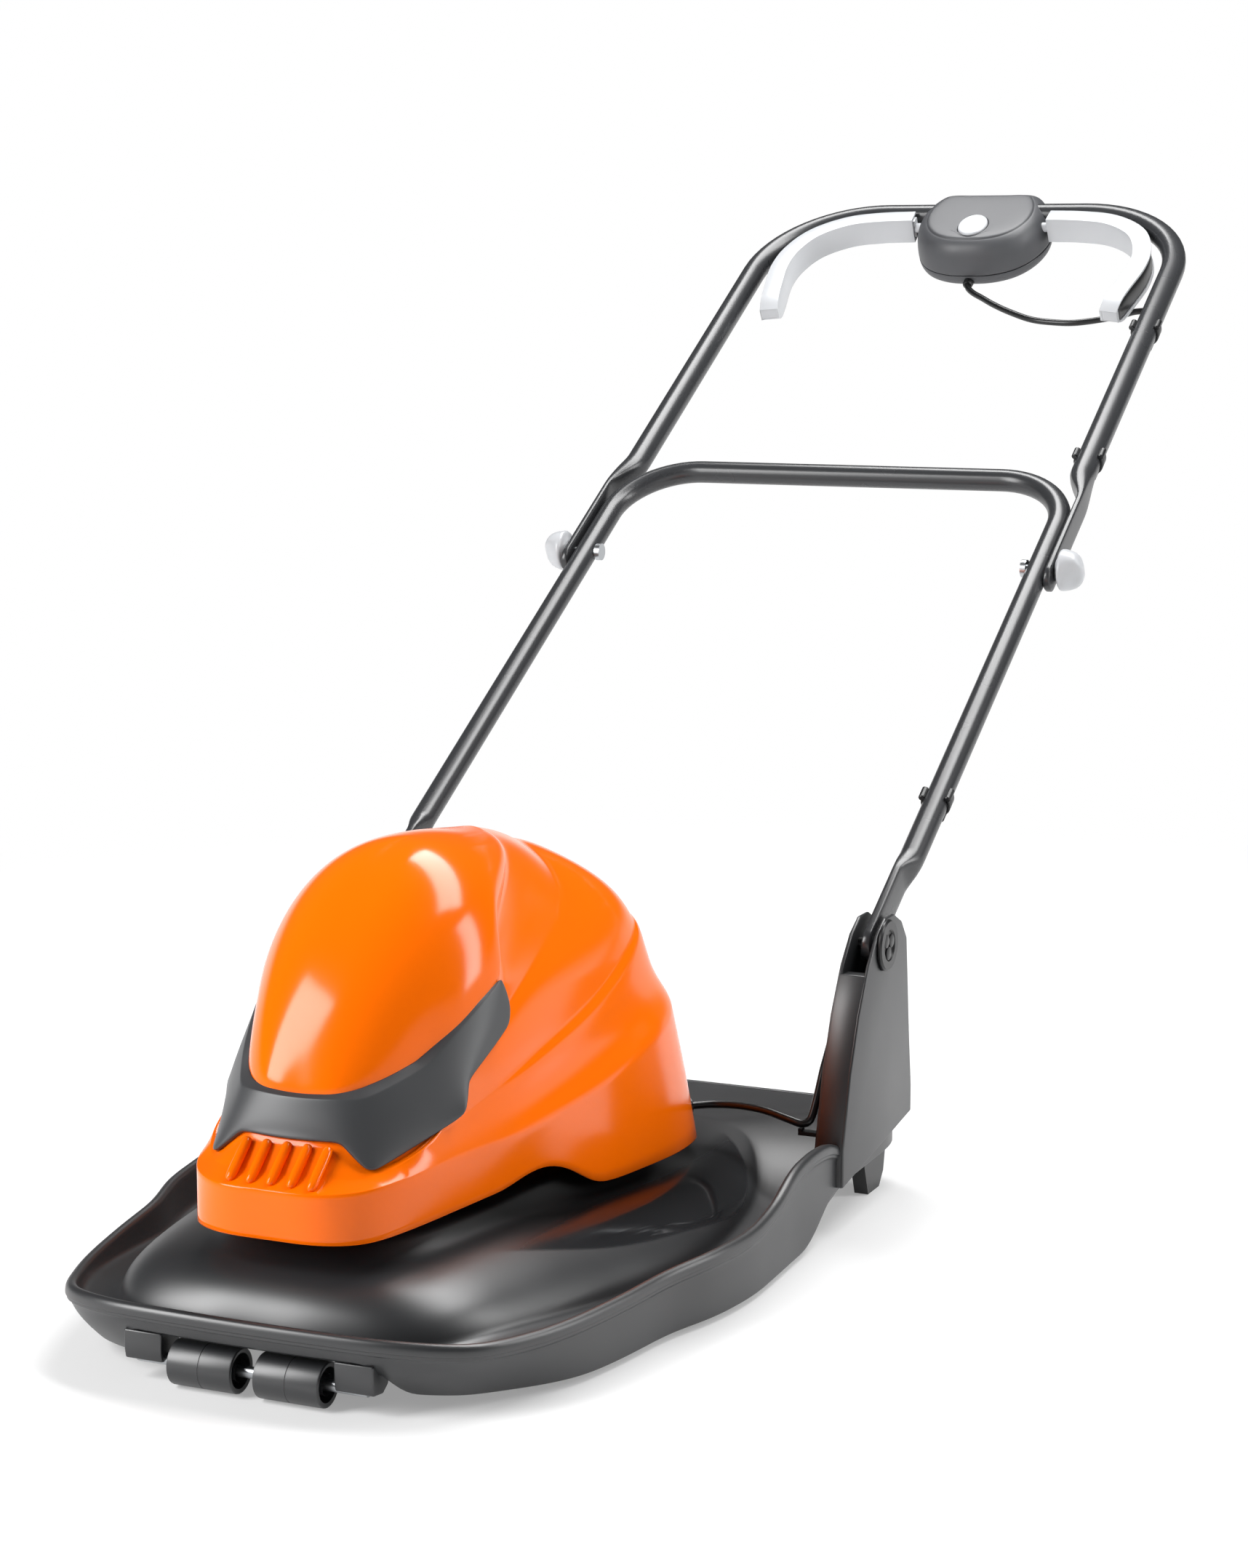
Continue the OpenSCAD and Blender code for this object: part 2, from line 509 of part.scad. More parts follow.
axle_y = 18;
axle_z = roller_d / 2;
roller_gap = 16.6;
roller_play = 8;
support_x = roller_gap / 2 + roller_l + roller_play;
support_w = 29;
support_shares = [[-0.24, 1], [-0.24, 0.6], [-0.2, 0.42], [0.2, 0.37], [0.42, 0.5], [0.5, 0.75], [0.5, 1]];
module support_body() {
    h = gutter_h - deck_wall;
    difference() {
        plate_x([for (p = support_shares) [axle_y + p[0] * support_w * 1.1, p[1] * h]],
            support_x, support_x + support_w);
        translate([0, axle_y, axle_z]) rod_x(axle_d / 2 + touch, support_x - over, support_x + support_w * 0.8);
    }
}
module roller_support_right() { color(grey) place() support_body(); }
module roller_support_left() { color(grey) place() mirror([1, 0, 0]) support_body(); }
module roller_axle() {
    color(steel) place() translate([0, axle_y, axle_z])
        rod_x(axle_d / 2, -support_x - support_w * 0.75, support_x + support_w * 0.75);
}
roller_wall = 3.5;
module roller_body() {
    x0 = roller_gap / 2;
    translate([0, axle_y, axle_z]) difference() {
        rod_x(roller_d / 2, x0, x0 + roller_l);
        rod_x(axle_d / 2 + fit, x0 - over, x0 + roller_l + over);
        for (x = [x0 - over, x0 + roller_l - roller_l * 0.2]) difference() {
            rod_x(roller_d / 2 - roller_wall, x, x + roller_l * 0.2 + over);
            rod_x(axle_d / 2 + roller_wall, x - over, x + roller_l * 0.2 + 2 * over);
        }
        translate([x0 + roller_l / 2, 0, 0]) difference() {
            rod_x(roller_d / 2 + over, -0.5 * gap, 0.5 * gap);
            rod_x(roller_d / 2 - gap, -gap, gap);
        }
    }
}
module roller_right() { color(grey) place() roller_body(); }
module roller_left() { color(grey) place() mirror([1, 0, 0]) roller_body(); }

// Dark feet under the rear corners
// Shares of the bracket's length behind its front, and of the gutter's height
skid_shares = [[0.54, 1], [0.56, 0.6], [0.636, 0], [0.799, 0], [0.86, 0.2], [0.9, 0.7], [0.9, 1]];
module skid_body() {
    top = seat_z - deck_wall;
    plate_x([for (s = skid_shares) [bracket_y + s[0] * bracket_l, s[1] * top]], bracket_x - deck_wall,
        bracket_x + bracket_w * 0.36);
}
module rear_skid_right() { color(black) place() skid_body(); }
module rear_skid_left() { color(black) place() mirror([1, 0, 0]) skid_body(); }

// Cutting gear on the spindle below the platform, pulley above it

spindle_r = 7.5;
bearing_r = 16;
bearing_t = 9;
housing_t = 24;
housing_drop = 14;
housing_z = plinth_h - housing_drop;
flange_t = 5;
pulley_t = 14;
pulley_lift = 12;
pulley_z = plinth_h + pulley_lift;
pulley_r = 44;
module at_spindle() { place() translate([0, spindle_y, 0]) children(); }
module spindle_housing() {
    color(cast) at_spindle() difference() {
        union() {
            translate([0, 0, housing_z]) cylinder(r = bearing_r + 2 * deck_wall, h = housing_t);
            translate([0, 0, plinth_h]) cylinder(r = hub_r - 2 * deck_wall, h = flange_t);
        }
        translate([0, 0, housing_z - over]) cylinder(r = bearing_r, h = housing_t + 2 * over);
    }
}
module bearing(r0, r1, t) {
    difference() {
        cylinder(r = r1, h = t);
        translate([0, 0, -over]) cylinder(r = r0, h = t + 2 * over);
    }
}
module spindle_bearings() {
    color(steel) at_spindle() for (z = [housing_z, housing_z + housing_t - bearing_t]) translate([0, 0, z])
        bearing(spindle_r + touch, bearing_r - touch, bearing_t);
}
blade_z = 20;
blade_t = 3;
blade_w = 46;
spacer_t = 10;
hub_t = 40;
module spindle() {
    color(steel) at_spindle() translate([0, 0, blade_z + blade_t])
        cylinder(r = spindle_r, h = pulley_z + pulley_t - blade_z - blade_t);
}
module grooved(r, t, n, bore) {
    d = t / (2 * n);
    teeth = [for (k = [0:n - 1]) each [[r, d * (2 * k + 0.5)], [r - d, d * (2 * k + 1)],
        [r, d * (2 * k + 1.5)]]];
    rotate_extrude() polygon(concat([[bore, 0], [r, 0]], teeth, [[r, t], [bore, t]]));
}
module spindle_pulley() {
    color(cast) at_spindle() translate([0, 0, pulley_z]) grooved(pulley_r, pulley_t, 4, spindle_r + touch);
}
module vane(r0, r1, t, h) {
    linear_extrude(height = h) intersection() {
        translate([r1 * 0.55, 0]) difference() {
            circle(r = r1 * 0.55);
            circle(r = r1 * 0.55 - t);
        }
        difference() {
            square([r1, r1]);
            circle(r = r0);
        }
        circle(r = r1);
    }
}
vane_h = 18;
impeller_hub_r = 20;
impeller_z = blade_z + blade_t + spacer_t;
module impeller() {
    color(black) at_spindle() translate([0, 0, impeller_z]) difference() {
        union() {
            cylinder(r = impeller_hub_r, h = hub_t);
            translate([0, 0, vane_h]) cylinder(d = impeller_d, h = deck_wall);
            for (k = [0:vane_n - 1]) rotate(360 * k / vane_n)
                vane(impeller_hub_r * 0.9, impeller_d / 2, deck_wall, vane_h + touch);
        }
        translate([0, 0, -over]) cylinder(r = spindle_r + touch, h = hub_t + 2 * over);
    }
}
blade_tip_share = 0.72;
blade_bolt_r = 5;
module blade() {
    r = blade_d / 2;
    color(steel) at_spindle() translate([0, 0, blade_z]) linear_extrude(height = blade_t) difference() {
        intersection() {
            circle(r = r);
            polygon([[-r * blade_tip_share, -blade_w / 2], [r, -blade_w / 2], [r, blade_w * 0.2],
                [r * blade_tip_share, blade_w / 2], [-r, blade_w / 2], [-r, -blade_w * 0.2]]);
        }
        circle(r = blade_bolt_r + touch);
    }
}
module blade_spacer() {
    color(black) at_spindle() translate([0, 0, blade_z + blade_t])
        bearing(spindle_r + touch, blade_w * 0.42, spacer_t);
}
bolt_head_t = 7;
module blade_bolt() {
    color(steel) at_spindle() translate([0, 0, blade_z]) {
        translate([0, 0, -bolt_head_t]) cylinder(r = blade_bolt_r * 1.9, h = bolt_head_t, $fn = 6);
        cylinder(r = blade_bolt_r, h = blade_t);
    }
}

// Motor on its plate, with a belt down to the spindle pulley

motor_y = deck_l * 0.3545;
motor_lift = 6;
motor_z = pulley_z + pulley_t + motor_lift;
plate_t = 3;
motor_h = 128;
shaft_r = 5;
motor_bearing_r = 11;
motor_bearing_t = 7;
motor_wall = 4;
motor_floor = 2.5 * motor_wall;
air_gap = 3;
stack_lift = 22;
stack_cut = 40;
fan_lift = 6;
stack_r = 28;
pin_pulley_r = 11;
pillar_r = 6;
pillar_shares = [[0.78, -0.56], [0.95, 0.62]];
plate_shares = [[-1, -1], [1, -1], [1.2, 1], [-1.2, 1]];
module at_motor() { place() translate([0, motor_y, 0]) children(); }
module motor_plate() {
    r = motor_d / 2;
    color(cast) at_motor() difference() {
        union() {
            translate([0, 0, motor_z]) linear_extrude(height = plate_t) polygon((r + pillar_r) * plate_shares);
            both() for (s = pillar_shares) translate([s[0] * r * 1.1, s[1] * r * 1.35, plinth_h])
                cylinder(r = pillar_r, h = motor_z - plinth_h + touch);
        }
        translate([0, 0, motor_z - over]) cylinder(r = motor_bearing_r + plate_t, h = plate_t + 2 * over);
    }
}
module motor_field() {
    color(iron) at_motor() translate([0, 0, motor_z + plate_t]) difference() {
        cylinder(d = motor_d, h = motor_h);
        translate([0, 0, -over]) cylinder(r = motor_bearing_r, h = motor_floor + over);
        translate([0, 0, motor_floor]) cylinder(r = stack_r + air_gap, h = motor_h);
    }
}
cap_h = 26;
module motor_end_cap() {
    color(black) at_motor() translate([0, 0, motor_z + plate_t + motor_h]) difference() {
        rotate_extrude() polygon([[0, 0], [motor_d / 2, 0], [motor_d / 2, cap_h * 0.4], [motor_d * 0.3, cap_h],
            [0, cap_h]]);
        translate([0, 0, -over]) cylinder(r = stack_r, h = cap_h * 0.45 + over);
        translate([0, 0, cap_h * 0.45 - over]) cylinder(r = motor_bearing_r, h = cap_h * 0.4 + over);
        both() translate([0, 0, cap_h * 0.22]) rod_x(brush_w / 2, comm_r + gap, comm_r + gap + stack_r);
    }
}
brush_w = 8;
comm_r = 14;
module motor_brushes() {
    color(carbon) at_motor() translate([0, 0, motor_z + plate_t + motor_h + cap_h * 0.22]) both()
        rod_x((brush_w - fit) / 2, comm_r + gap, comm_r + gap + stack_r * 0.85);
}
module motor_bearings() {
    color(steel) at_motor() {
        translate([0, 0, motor_z + plate_t]) bearing(shaft_r + touch, motor_bearing_r - touch, motor_bearing_t);
        translate([0, 0, motor_z + plate_t + motor_h + cap_h * 0.85 - motor_bearing_t])
            bearing(shaft_r + touch, motor_bearing_r - touch, motor_bearing_t);
    }
}
module armature() {
    z = motor_z + plate_t;
    color(copper) at_motor() {
        translate([0, 0, pulley_z]) cylinder(r = shaft_r, h = z + motor_h + cap_h * 0.82 - pulley_z);
        translate([0, 0, z + motor_floor + stack_lift])
            cylinder(r = stack_r, h = motor_h - motor_floor - stack_cut);
        translate([0, 0, z + motor_h + gap]) cylinder(r = comm_r, h = cap_h * 0.42);
    }
}
fan_t = 12;
module motor_fan() {
    r = stack_r;
    color(black) at_motor() translate([0, 0, motor_z + plate_t + motor_floor + fan_lift]) difference() {
        union() {
            cylinder(r = r, h = motor_wall / 2);
            cylinder(r = shaft_r + motor_wall, h = fan_t);
            for (k = [0:8]) rotate(40 * k) translate([shaft_r + motor_wall / 2, -motor_wall / 4, 0])
                cube([r - shaft_r - motor_wall, motor_wall / 2, fan_t]);
        }
        translate([0, 0, -over]) cylinder(r = shaft_r + touch, h = fan_t + 2 * over);
    }
}
module motor_pulley() {
    color(cast) at_motor() translate([0, 0, pulley_z]) grooved(pin_pulley_r, pulley_t, 4, shaft_r + touch);
}
belt_t = 3;
// Tangent strip between two circles that lie d apart
function strip(r0, r1, d, a) = [[-r0 * cos(a), -r0 * sin(a)], [-r1 * cos(a), d - r1 * sin(a)],
    [r1 * cos(a), d - r1 * sin(a)], [r0 * cos(a), -r0 * sin(a)]];
module drive_belt() {
    d = spindle_y - motor_y;
    r0 = pin_pulley_r + gap;
    r1 = pulley_r + gap;
    a = asin((r1 - r0) / d);
    h = pulley_t * 0.8;
    color(black) at_motor() translate([0, 0, pulley_z + pulley_t * 0.1])
        linear_extrude(height = h) difference() {
        union() {
            circle(r = r0 + belt_t);
            translate([0, d]) circle(r = r1 + belt_t);
            polygon(strip(r0 + belt_t, r1 + belt_t, d, a));
        }
        circle(r = r0);
        translate([0, d]) circle(r = r1);
        polygon(strip(r0, r1, d, a));
    }
}
terminal_size = [44, 26, 22];
terminal_back = 34;
module terminal_block() {
    w = terminal_size[0];
    h = terminal_size[2];
    color(white) at_spindle() translate([-w / 2, pulley_r + terminal_back, plinth_h]) difference() {
        cube(terminal_size);
        for (k = [0:3]) translate([w * (k + 0.5) / 4, terminal_size[1] / 2, h * 0.6])
            cylinder(d = w * 0.14, h = h, $fn = 24);
    }
}

// Tube handles, in the frame of the handle

lower_x = lower_span / 2;
upper_x = upper_span / 2;
fork_y = 105;
pinch_l = 30;
tongue_t = 6;
tongue_h = 25;
tongue_tail = 25;
tongue_run = 97;
neck_l = 55;
neck_y = bolt_l + tongue_run + neck_l;
tongue_x = lower_x + lower_d / 2 + gap + tongue_t / 2;
knob_x = tongue_x + tongue_t / 2 + gap;
module leg(r, x, y0, y1) { translate([x, y0, 0]) rotate([-90, 0, 0]) cylinder(r = r, h = y1 - y0); }
module hoop(r, x, y0, l, bend) {
    both() {
        leg(r, x, y0, l - bend);
        translate([x - bend, l - bend, 0]) rotate_extrude(angle = 90) translate([bend, 0]) circle(r = r);
    }
    translate([0, l, 0]) rod_x(r, bend - x, x - bend);
}
// Flattened leg end with a round tip, opening into the round tube
module flat_end(t, h, x, y0, y1, y2, tube_x, tube_d) {
    translate([x - t / 2, 0, 0]) rotate([90, 0, 90]) linear_extrude(height = t) {
        translate([y0 + h / 2, 0]) circle(d = h);
        translate([y0 + h / 2, -h / 2]) square([y1 - y0 - h / 2, h]);
    }
    hull() {
        translate([x - t / 2, y1 - touch, -h / 2]) cube([t, touch, h]);
        leg(tube_d / 2, tube_x, y2, y2 + touch, $fn = 32);
    }
}
module bolt_holes() {
    both() translate([0, bolt_l, 0]) rod_x(bolt_d / 2 + fit, lower_x - lower_d, knob_x + over);
}
module lower_handle() {
    color(dark) on_handle() difference() {
        union() {
            hoop(lower_d / 2, lower_x, fork_y, lower_l, lower_bend);
            both() flat_end(leg_flat_t, leg_flat_h, leg_x, -leg_flat_h / 2, fork_y - pinch_l, fork_y,
                lower_x, lower_d);
        }
        hoop(lower_d / 2 - tube_wall, lower_x, fork_y + tube_wall, lower_l, lower_bend);
        both() rod_x(pivot_d / 2 + fit, bracket_x, bracket_x + bracket_w);
        bolt_holes();
    }
}
module upper_handle() {
    color(dark) on_handle() difference() {
        union() {
            hoop(upper_d / 2, upper_x, neck_y, upper_l, upper_bend);
            both() flat_end(tongue_t, tongue_h, tongue_x, bolt_l - tongue_tail, bolt_l + tongue_run, neck_y,
                upper_x, upper_d);
        }
        hoop(upper_d / 2 - tube_wall, upper_x, neck_y + tube_wall, upper_l, upper_bend);
        bolt_holes();
    }
}
bolt_cap_t = 5;
knob_t = 25;
knob_bore_l = 17;
module handle_bolts() {
    head_x = lower_x - lower_d / 2;
    color(steel) on_handle() both() translate([0, bolt_l, 0]) {
        rod_x(bolt_d, head_x - bolt_cap_t, head_x);
        rod_x(bolt_d / 2, head_x - touch, knob_x + knob_bore_l - gap);
    }
}
knob_shares = [[0, 0], [0.62, 0], [0.62, 0.1], [0.98, 0.16], [1, 0.3], [0.97, 0.5], [0.88, 0.72],
    [0.7, 0.88], [0.42, 0.97], [0, 1]];
module knob_body() {
    r = knob_d / 2;
    translate([knob_x, bolt_l, 0]) difference() {
        rotate([0, 90, 0]) rotate_extrude() polygon([for (s = knob_shares) [s[0] * r, s[1] * knob_t]]);
        rod_x(bolt_d / 2 + fit, -over, knob_bore_l);
        for (s = [-1, 1]) translate([0, s * r * 1.12, 0]) rod_x(r * 0.72, knob_t * 0.42, knob_t + over);
    }
}
module knob_right() { color(white) on_handle() knob_body(); }
module knob_left() { color(white) on_handle() mirror([1, 0, 0]) knob_body(); }

// Open clips round a tube, each with an eye for the lead behind it
clip_t = 2;
clip_l = 13;
clip_lobe_d = 5;
lead_lower_n = -(lower_d + lead_d) / 2 - gap;
lead_upper_n = -(upper_d + lead_d) / 2 - 2 * gap;
module clip(d, x, y, n) {
    r = d / 2;
    translate([x, y - clip_l / 2, 0]) rotate([-90, 0, 0]) linear_extrude(height = clip_l) difference() {
        union() {
            difference() {
                circle(r = r + clip_t);
                translate([-d, -d]) square([2 * d, d - r * 0.3]);
            }
            translate([0, -n]) circle(d = lead_d + 2 * clip_t);
            for (s = [-1, 1]) translate([s * (r + clip_t * 0.6), -r * 0.45]) circle(d = clip_lobe_d, $fn = 24);
        }
        circle(r = r + touch);
        translate([0, -n]) circle(d = lead_d + 2 * touch);
    }
}
lower_clip_y = 178;
upper_clip_ys = [678, 903];
module lower_clip() { color(black) on_handle() clip(lower_d, lower_x, lower_clip_y, lead_lower_n); }
module upper_clips() {
    color(black) on_handle() for (y = upper_clip_ys) clip(upper_d, upper_x, y, lead_upper_n);
}

// Switch box: top and base on the grip bar, from the front of the box to its rear

box_shares = [[0, 0], [0.36, 0.022], [0.68, 0.12], [0.9, 0.3], [1, 0.53], [0.97, 0.75], [0.86, 0.92],
    [0.72, 1], [0.36, 1], [0, 1]];
box_m = 2;
box_front = box_rear - box_l;
part_n = -22;
box_half = half([for (p = box_shares) [p[0] * box_w / 2, p[1] * box_l, 0]], box_m);
function box_ring(d, n) = ring([for (p = box_half) [p[0] * (1 - 2 * d / box_w),
    box_front + box_l / 2 + (p[1] - box_l / 2) * (1 - 2 * d / box_l), n]]);
// Insets as shares of the half width, and heights as shares of the top's rise
top_shares = [[0, 0], [0.005, 0.5], [0.03, 0.76], [0.075, 0.9], [0.13, 0.935], [0.16, 0.985], [0.45, 1]];
base_shares = [[0.16, 1], [0.06, 0.88], [0.012, 0.5], [0, 0]];
top_rise = box_up - part_n;
base_drop = box_down + part_n;
module box_solid(d, dz) {
    skin(concat([box_ring(d, part_n - (d > 0 ? over : 0))], [for (s = top_shares) box_ring(d + s[0] * box_w / 2,
        part_n + s[1] * top_rise - dz + (s[1] == 0 ? dz + touch : 0))]));
}
box_post_shares = [[0.7, 0.46], [-0.7, 0.46], [0, 0.87]];
box_post_r = 4;
box_screw_d = 3;
module box_posts() {
    for (s = box_post_shares) translate([s[0] * box_w / 2, box_front + s[1] * box_l, 0]) children();
}
bail_back = 23;
bail_y = upper_l - bail_back;
bail_n = -1;
shaft_d = 10;
button_back = 48;
button_y = upper_l - button_back;
module oval(d, n0, n1) {
    translate([0, button_y, n0]) linear_extrude(height = n1 - n0) polygon([for (a = [0:10:350])
        [(button_w / 2 + d) * cos(a), (button_l / 2 + d) * sin(a)]]);
}
module box_top() {
    color(grey) on_handle() difference() {
        union() {
            difference() {
                box_solid(0, 0);
                box_solid(box_wall, box_wall);
            }
            intersection() {
                box_posts() translate([0, 0, part_n]) cylinder(r = box_post_r, h = top_rise);
                box_solid(0, 0);
            }
        }
        translate([0, upper_l, 0]) rod_x(upper_d / 2 + touch, -box_w, box_w);
        translate([0, bail_y, bail_n]) rod_x(shaft_d / 2 + fit, -box_w, box_w);
        oval(gap, 0, box_up + over);
        box_posts() translate([0, 0, part_n - over]) cylinder(d = box_screw_d, h = -part_n + over);
    }
}
gland_n = -29;
gland_d = 11;
gland_l = 20;
module box_base() {
    floor_n = box_wall - box_down;
    color(grey) on_handle() difference() {
        union() {
            difference() {
                skin([for (s = base_shares) box_ring(s[0] * box_w / 2, part_n - s[1] * base_drop)]);
                skin([for (s = base_shares) box_ring(box_wall + s[0] * box_w / 2,
                    part_n - s[1] * base_drop + (s[1] == 0 ? over : box_wall * s[1]))]);
            }
            box_posts() translate([0, 0, floor_n - touch])
                cylinder(r = box_post_r, h = part_n - floor_n + touch);
        }
        box_posts() {
            translate([0, 0, -box_down - over]) cylinder(d = box_screw_d + fit, h = base_drop + 2 * over);
            translate([0, 0, -box_down - over]) cylinder(d = 2 * box_screw_d, h = box_wall + over);
        }
        translate([0, box_front - over, gland_n]) rotate([-90, 0, 0])
            cylinder(d = gland_d + 2 * touch, h = gland_l);
    }
}
module box_screws() {
    color(steel) on_handle() box_posts() translate([0, 0, -box_down]) {
        cylinder(d = 2 * box_screw_d - fit, h = box_wall);
        cylinder(d = box_screw_d - fit, h = base_drop * 1.7);
    }
}
switch_size = [30, 24, 25];
module switch_unit() {
    color(black) on_handle()
        translate([-switch_size[0] / 2, button_y - switch_size[1] / 2, box_wall - box_down]) cube(switch_size);
}
module lead_gland() {
    color(black) on_handle() translate([0, box_front + gland_l * 0.3, gland_n]) rotate([90, 0, 0])
        difference() {
        union() {
            cylinder(d = gland_d, h = gland_l * 0.6);
            cylinder(d1 = gland_d, d2 = gland_d * 0.8, h = gland_l);
        }
        translate([0, 0, -over]) cylinder(d = lead_d + 2 * touch, h = gland_l + 2 * over);
    }
}
// Lock button with its flange, stem and return spring
button_rise = 3;
button_flange_t = 2.5;
stem_r = 4;
flange_n = box_up - box_wall * 1.4 - gap;
switch_n = box_wall - box_down + switch_size[2];
module lock_button() {
    color(white) on_handle() {
        oval(0, flange_n - touch, box_up + button_rise * 0.4);
        oval(-button_rise * 0.5, box_up, box_up + button_rise * 0.8);
        oval(-button_rise * 1.5, box_up, box_up + button_rise);
        oval(2 * gap + button_rise * 0.5, flange_n - button_flange_t, flange_n);
        translate([0, button_y, switch_n + button_travel + gap])
            cylinder(r = stem_r, h = flange_n - switch_n - button_travel - gap);
    }
}
module button_spring() {
    color(steel) on_handle() translate([0, button_y, switch_n + touch])
        bearing(stem_r + gap, stem_r + gap + box_wall, flange_n - button_flange_t - switch_n - gap);
}

// Bail: a channel on each side of the box, joined by its shaft inside

bail_wall = 3;
// Line of the channel: shares of the way from box to leg, and of the upper bend down from the shaft
bail_shares = [[0.019, -0.017], [0.252, 0], [0.477, 0.068], [0.671, 0.263], [0.768, 0.542], [0.787, 0.839],
    [0.748, 1.178], [0.71, 1.483]];
bail_m = 3;
bail_cap = [[1, 2, 3, 4], [0, 1, 4, 5], [0, 5, 6, 7]];
function bail_at(s) = [mix(box_w / 2, upper_x, s[0]), bail_y - s[1] * upper_bend, bail_n];
module bail_arm() {
    w = bail_w / 2;
    h = bail_h / 2;
    line = [for (s = bail_shares) bail_at(s)];
    path = [for (j = [0:(len(line) - 1) * bail_m]) along(line, j / bail_m)];
    skin(swept(path, [[w, -h], [w, h], [-w, h], [-w, h - bail_wall], [w - bail_wall, h - bail_wall],
        [w - bail_wall, bail_wall - h], [-w, bail_wall - h], [-w, -h]], [0, 0, 1]), cap = bail_cap);
}
module bail() {
    color(white) on_handle() {
        both() {
            bail_arm();
            translate([box_w / 2 + over, bail_y - bail_w * 0.25, bail_n - bail_h * 0.45])
                cube([bail_w, bail_w * 0.7, bail_h * 0.9]);
        }
        translate([0, bail_y, bail_n]) rod_x(shaft_d / 2, -box_w / 2 - 2 * over, box_w / 2 + 2 * over);
    }
}
bail_spring_l = 14;
module bail_spring() {
    color(steel) on_handle() translate([box_w * 0.16, bail_y, bail_n]) difference() {
        rod_x(shaft_d / 2 + gap + bail_wall, 0, bail_spring_l);
        rod_x(shaft_d / 2 + gap, -over, bail_spring_l + over);
    }
}

// Grommet round the lead where it leaves the cover
exit_share = [0.818, 0.9775, -0.0664];
exit_at = [exit_share[0] * cover_hw, cover_y + exit_share[1] * cover_l, cover_z + exit_share[2] * cover_h];
exit_turn = 51;
exit_l = 9;
exit_r = lead_d / 2 + 1.5 * cover_wall;
module at_exit() { translate(exit_at) rotate([0, 0, exit_turn]) children(); }
module cover_grommet() {
    color(black) place() at_exit() difference() {
        rod_x(exit_r, -exit_l, exit_l * 0.3);
        rod_x(lead_d / 2 + 2 * gap, -exit_l - over, exit_l);
    }
}

// Lead from the switch box down the right legs to the cover: points chosen by hand

upper_route = [[0, 1046, -29], [0, 1036, -29], [0, 1026, -29], [0, 1018, -29], [7, 1008, -28.5],
    [20, 1000, -28], [38, 989, -27], [62, 975, -26], [90, 962, -25], [117, 956, -24.5], [138, 955, -24],
    [161, 960, -23.5], [181, 967, -23], [195, 974, -22.5], [209, 973, -21.5], [219, 960, -20],
    [225, 940, -17.5], [226, 920, -16], [226, 903, -15.8], [226, 790, -15.8], [226, 678, -15.8],
    [226, 640.3, -15.8]];
joint_route = [[226, 639.7, -15.8], [226, 615, -17.5], [225, 580, -19], [224, 530, -18], [223, 490, -14.6],
    [223, 470.3, -14]];
lower_route = [[223, 469.7, -14], [223, 320, -14], [223, 178, -14], [223, 170.3, -14]];
// From the pivot: points behind and above it
pivot_route = moved([[223, 152.7, 75.4], [223, 140.3, 68], [216, 111, 48], [206, 67, 18], [202, 17, -20],
    [202.5, -25, -56], [202.5, -54, -87], [202.5, -62.6, -98.5]], [0, pivot_y, pivot_z]);
hook_route = moved([[202.5, -63, -99], [202.5, -72, -111], [201, -81, -124.5], [195, -84, -127.8]],
    [0, pivot_y, pivot_z]);
// From the hook to the cover: share of the way, and how far the lead lies behind and above the straight line
bow_route = [[0.115, 1.35, 1.4], [0.344, 8, 3.5], [0.594, 14.8, 2.5], [0.8125, 14.4, 0.7]];
exit_route = [8, -5, -15];
deck_route = concat(hook_route, [for (b = bow_route) mix(hook_route[3], exit_at, b[0]) + [0, b[1], b[2]]],
    [for (d = exit_route) exit_at + d * [cos(exit_turn), sin(exit_turn), 0]]);
module lead_upper() { color(black) on_handle() cord(upper_route, 2, [0, 0, 1]); }
module lead_joint() { color(black) on_handle() cord(joint_route, 2, [0, 0, 1]); }
module lead_lower() { color(black) on_handle() cord(lower_route, 1, [0, 0, 1]); }
module lead_pivot() { color(black) place() cord(pivot_route, 1, [1, 0, 0]); }
module lead_deck() { color(black) place() cord(deck_route, 2, [0, 0, 1]); }
hook_l = 15;
hook_w = 8;
hook_in = 4;
hook_up = 7.4;
hook_y = bracket_y + hook_in;
hook_z = bracket_z + hook_up;
hook_shares = [[0, 0], [-1, 0], [-1, 0.34], [-0.83, 0.34], [-0.83, 0.2], [0, 0.2]];
module cable_hook() {
    color(black) place() translate([bracket_x, hook_y + hook_w, hook_z]) rotate([90, 0, 0])
        linear_extrude(height = hook_w) polygon(hook_shares * hook_l);
}

deck_hood();
bracket_left();
bracket_right();
motor_cover();
front_trim();
cover_screws();
roller_support_left();
roller_support_right();
roller_axle();
rear_skid_left();
rear_skid_right();
motor_plate();
motor_field();
motor_end_cap();
motor_brushes();
motor_bearings();
spindle_housing();
spindle_bearings();
drive_belt();
terminal_block();
cover_grommet();
cable_hook();
lead_deck();
pivot_pin_left();
pivot_pin_right();
armature();
motor_fan();
motor_pulley();
spindle();
spindle_pulley();
impeller();
blade();
blade_spacer();
blade_bolt();
roller_left();
roller_right();
lower_handle();
handle_bolts();
lower_clip();
lead_lower();
lead_pivot();
upper_handle();
upper_clips();
box_base();
box_top();
box_screws();
switch_unit();
lead_gland();
lead_upper();
lead_joint();
knob_left();
knob_right();
bail();
bail_spring();
lock_button();
button_spring();
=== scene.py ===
"""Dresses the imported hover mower: smooth mouldings, tubes, lead, finishes, studio and camera."""
import json
import logging
import math
from dataclasses import dataclass, field
from enum import Enum
from functools import cache
from typing import Callable, Iterable, Optional, Sequence, Union

import bmesh
import bpy
from mathutils import Matrix, Vector


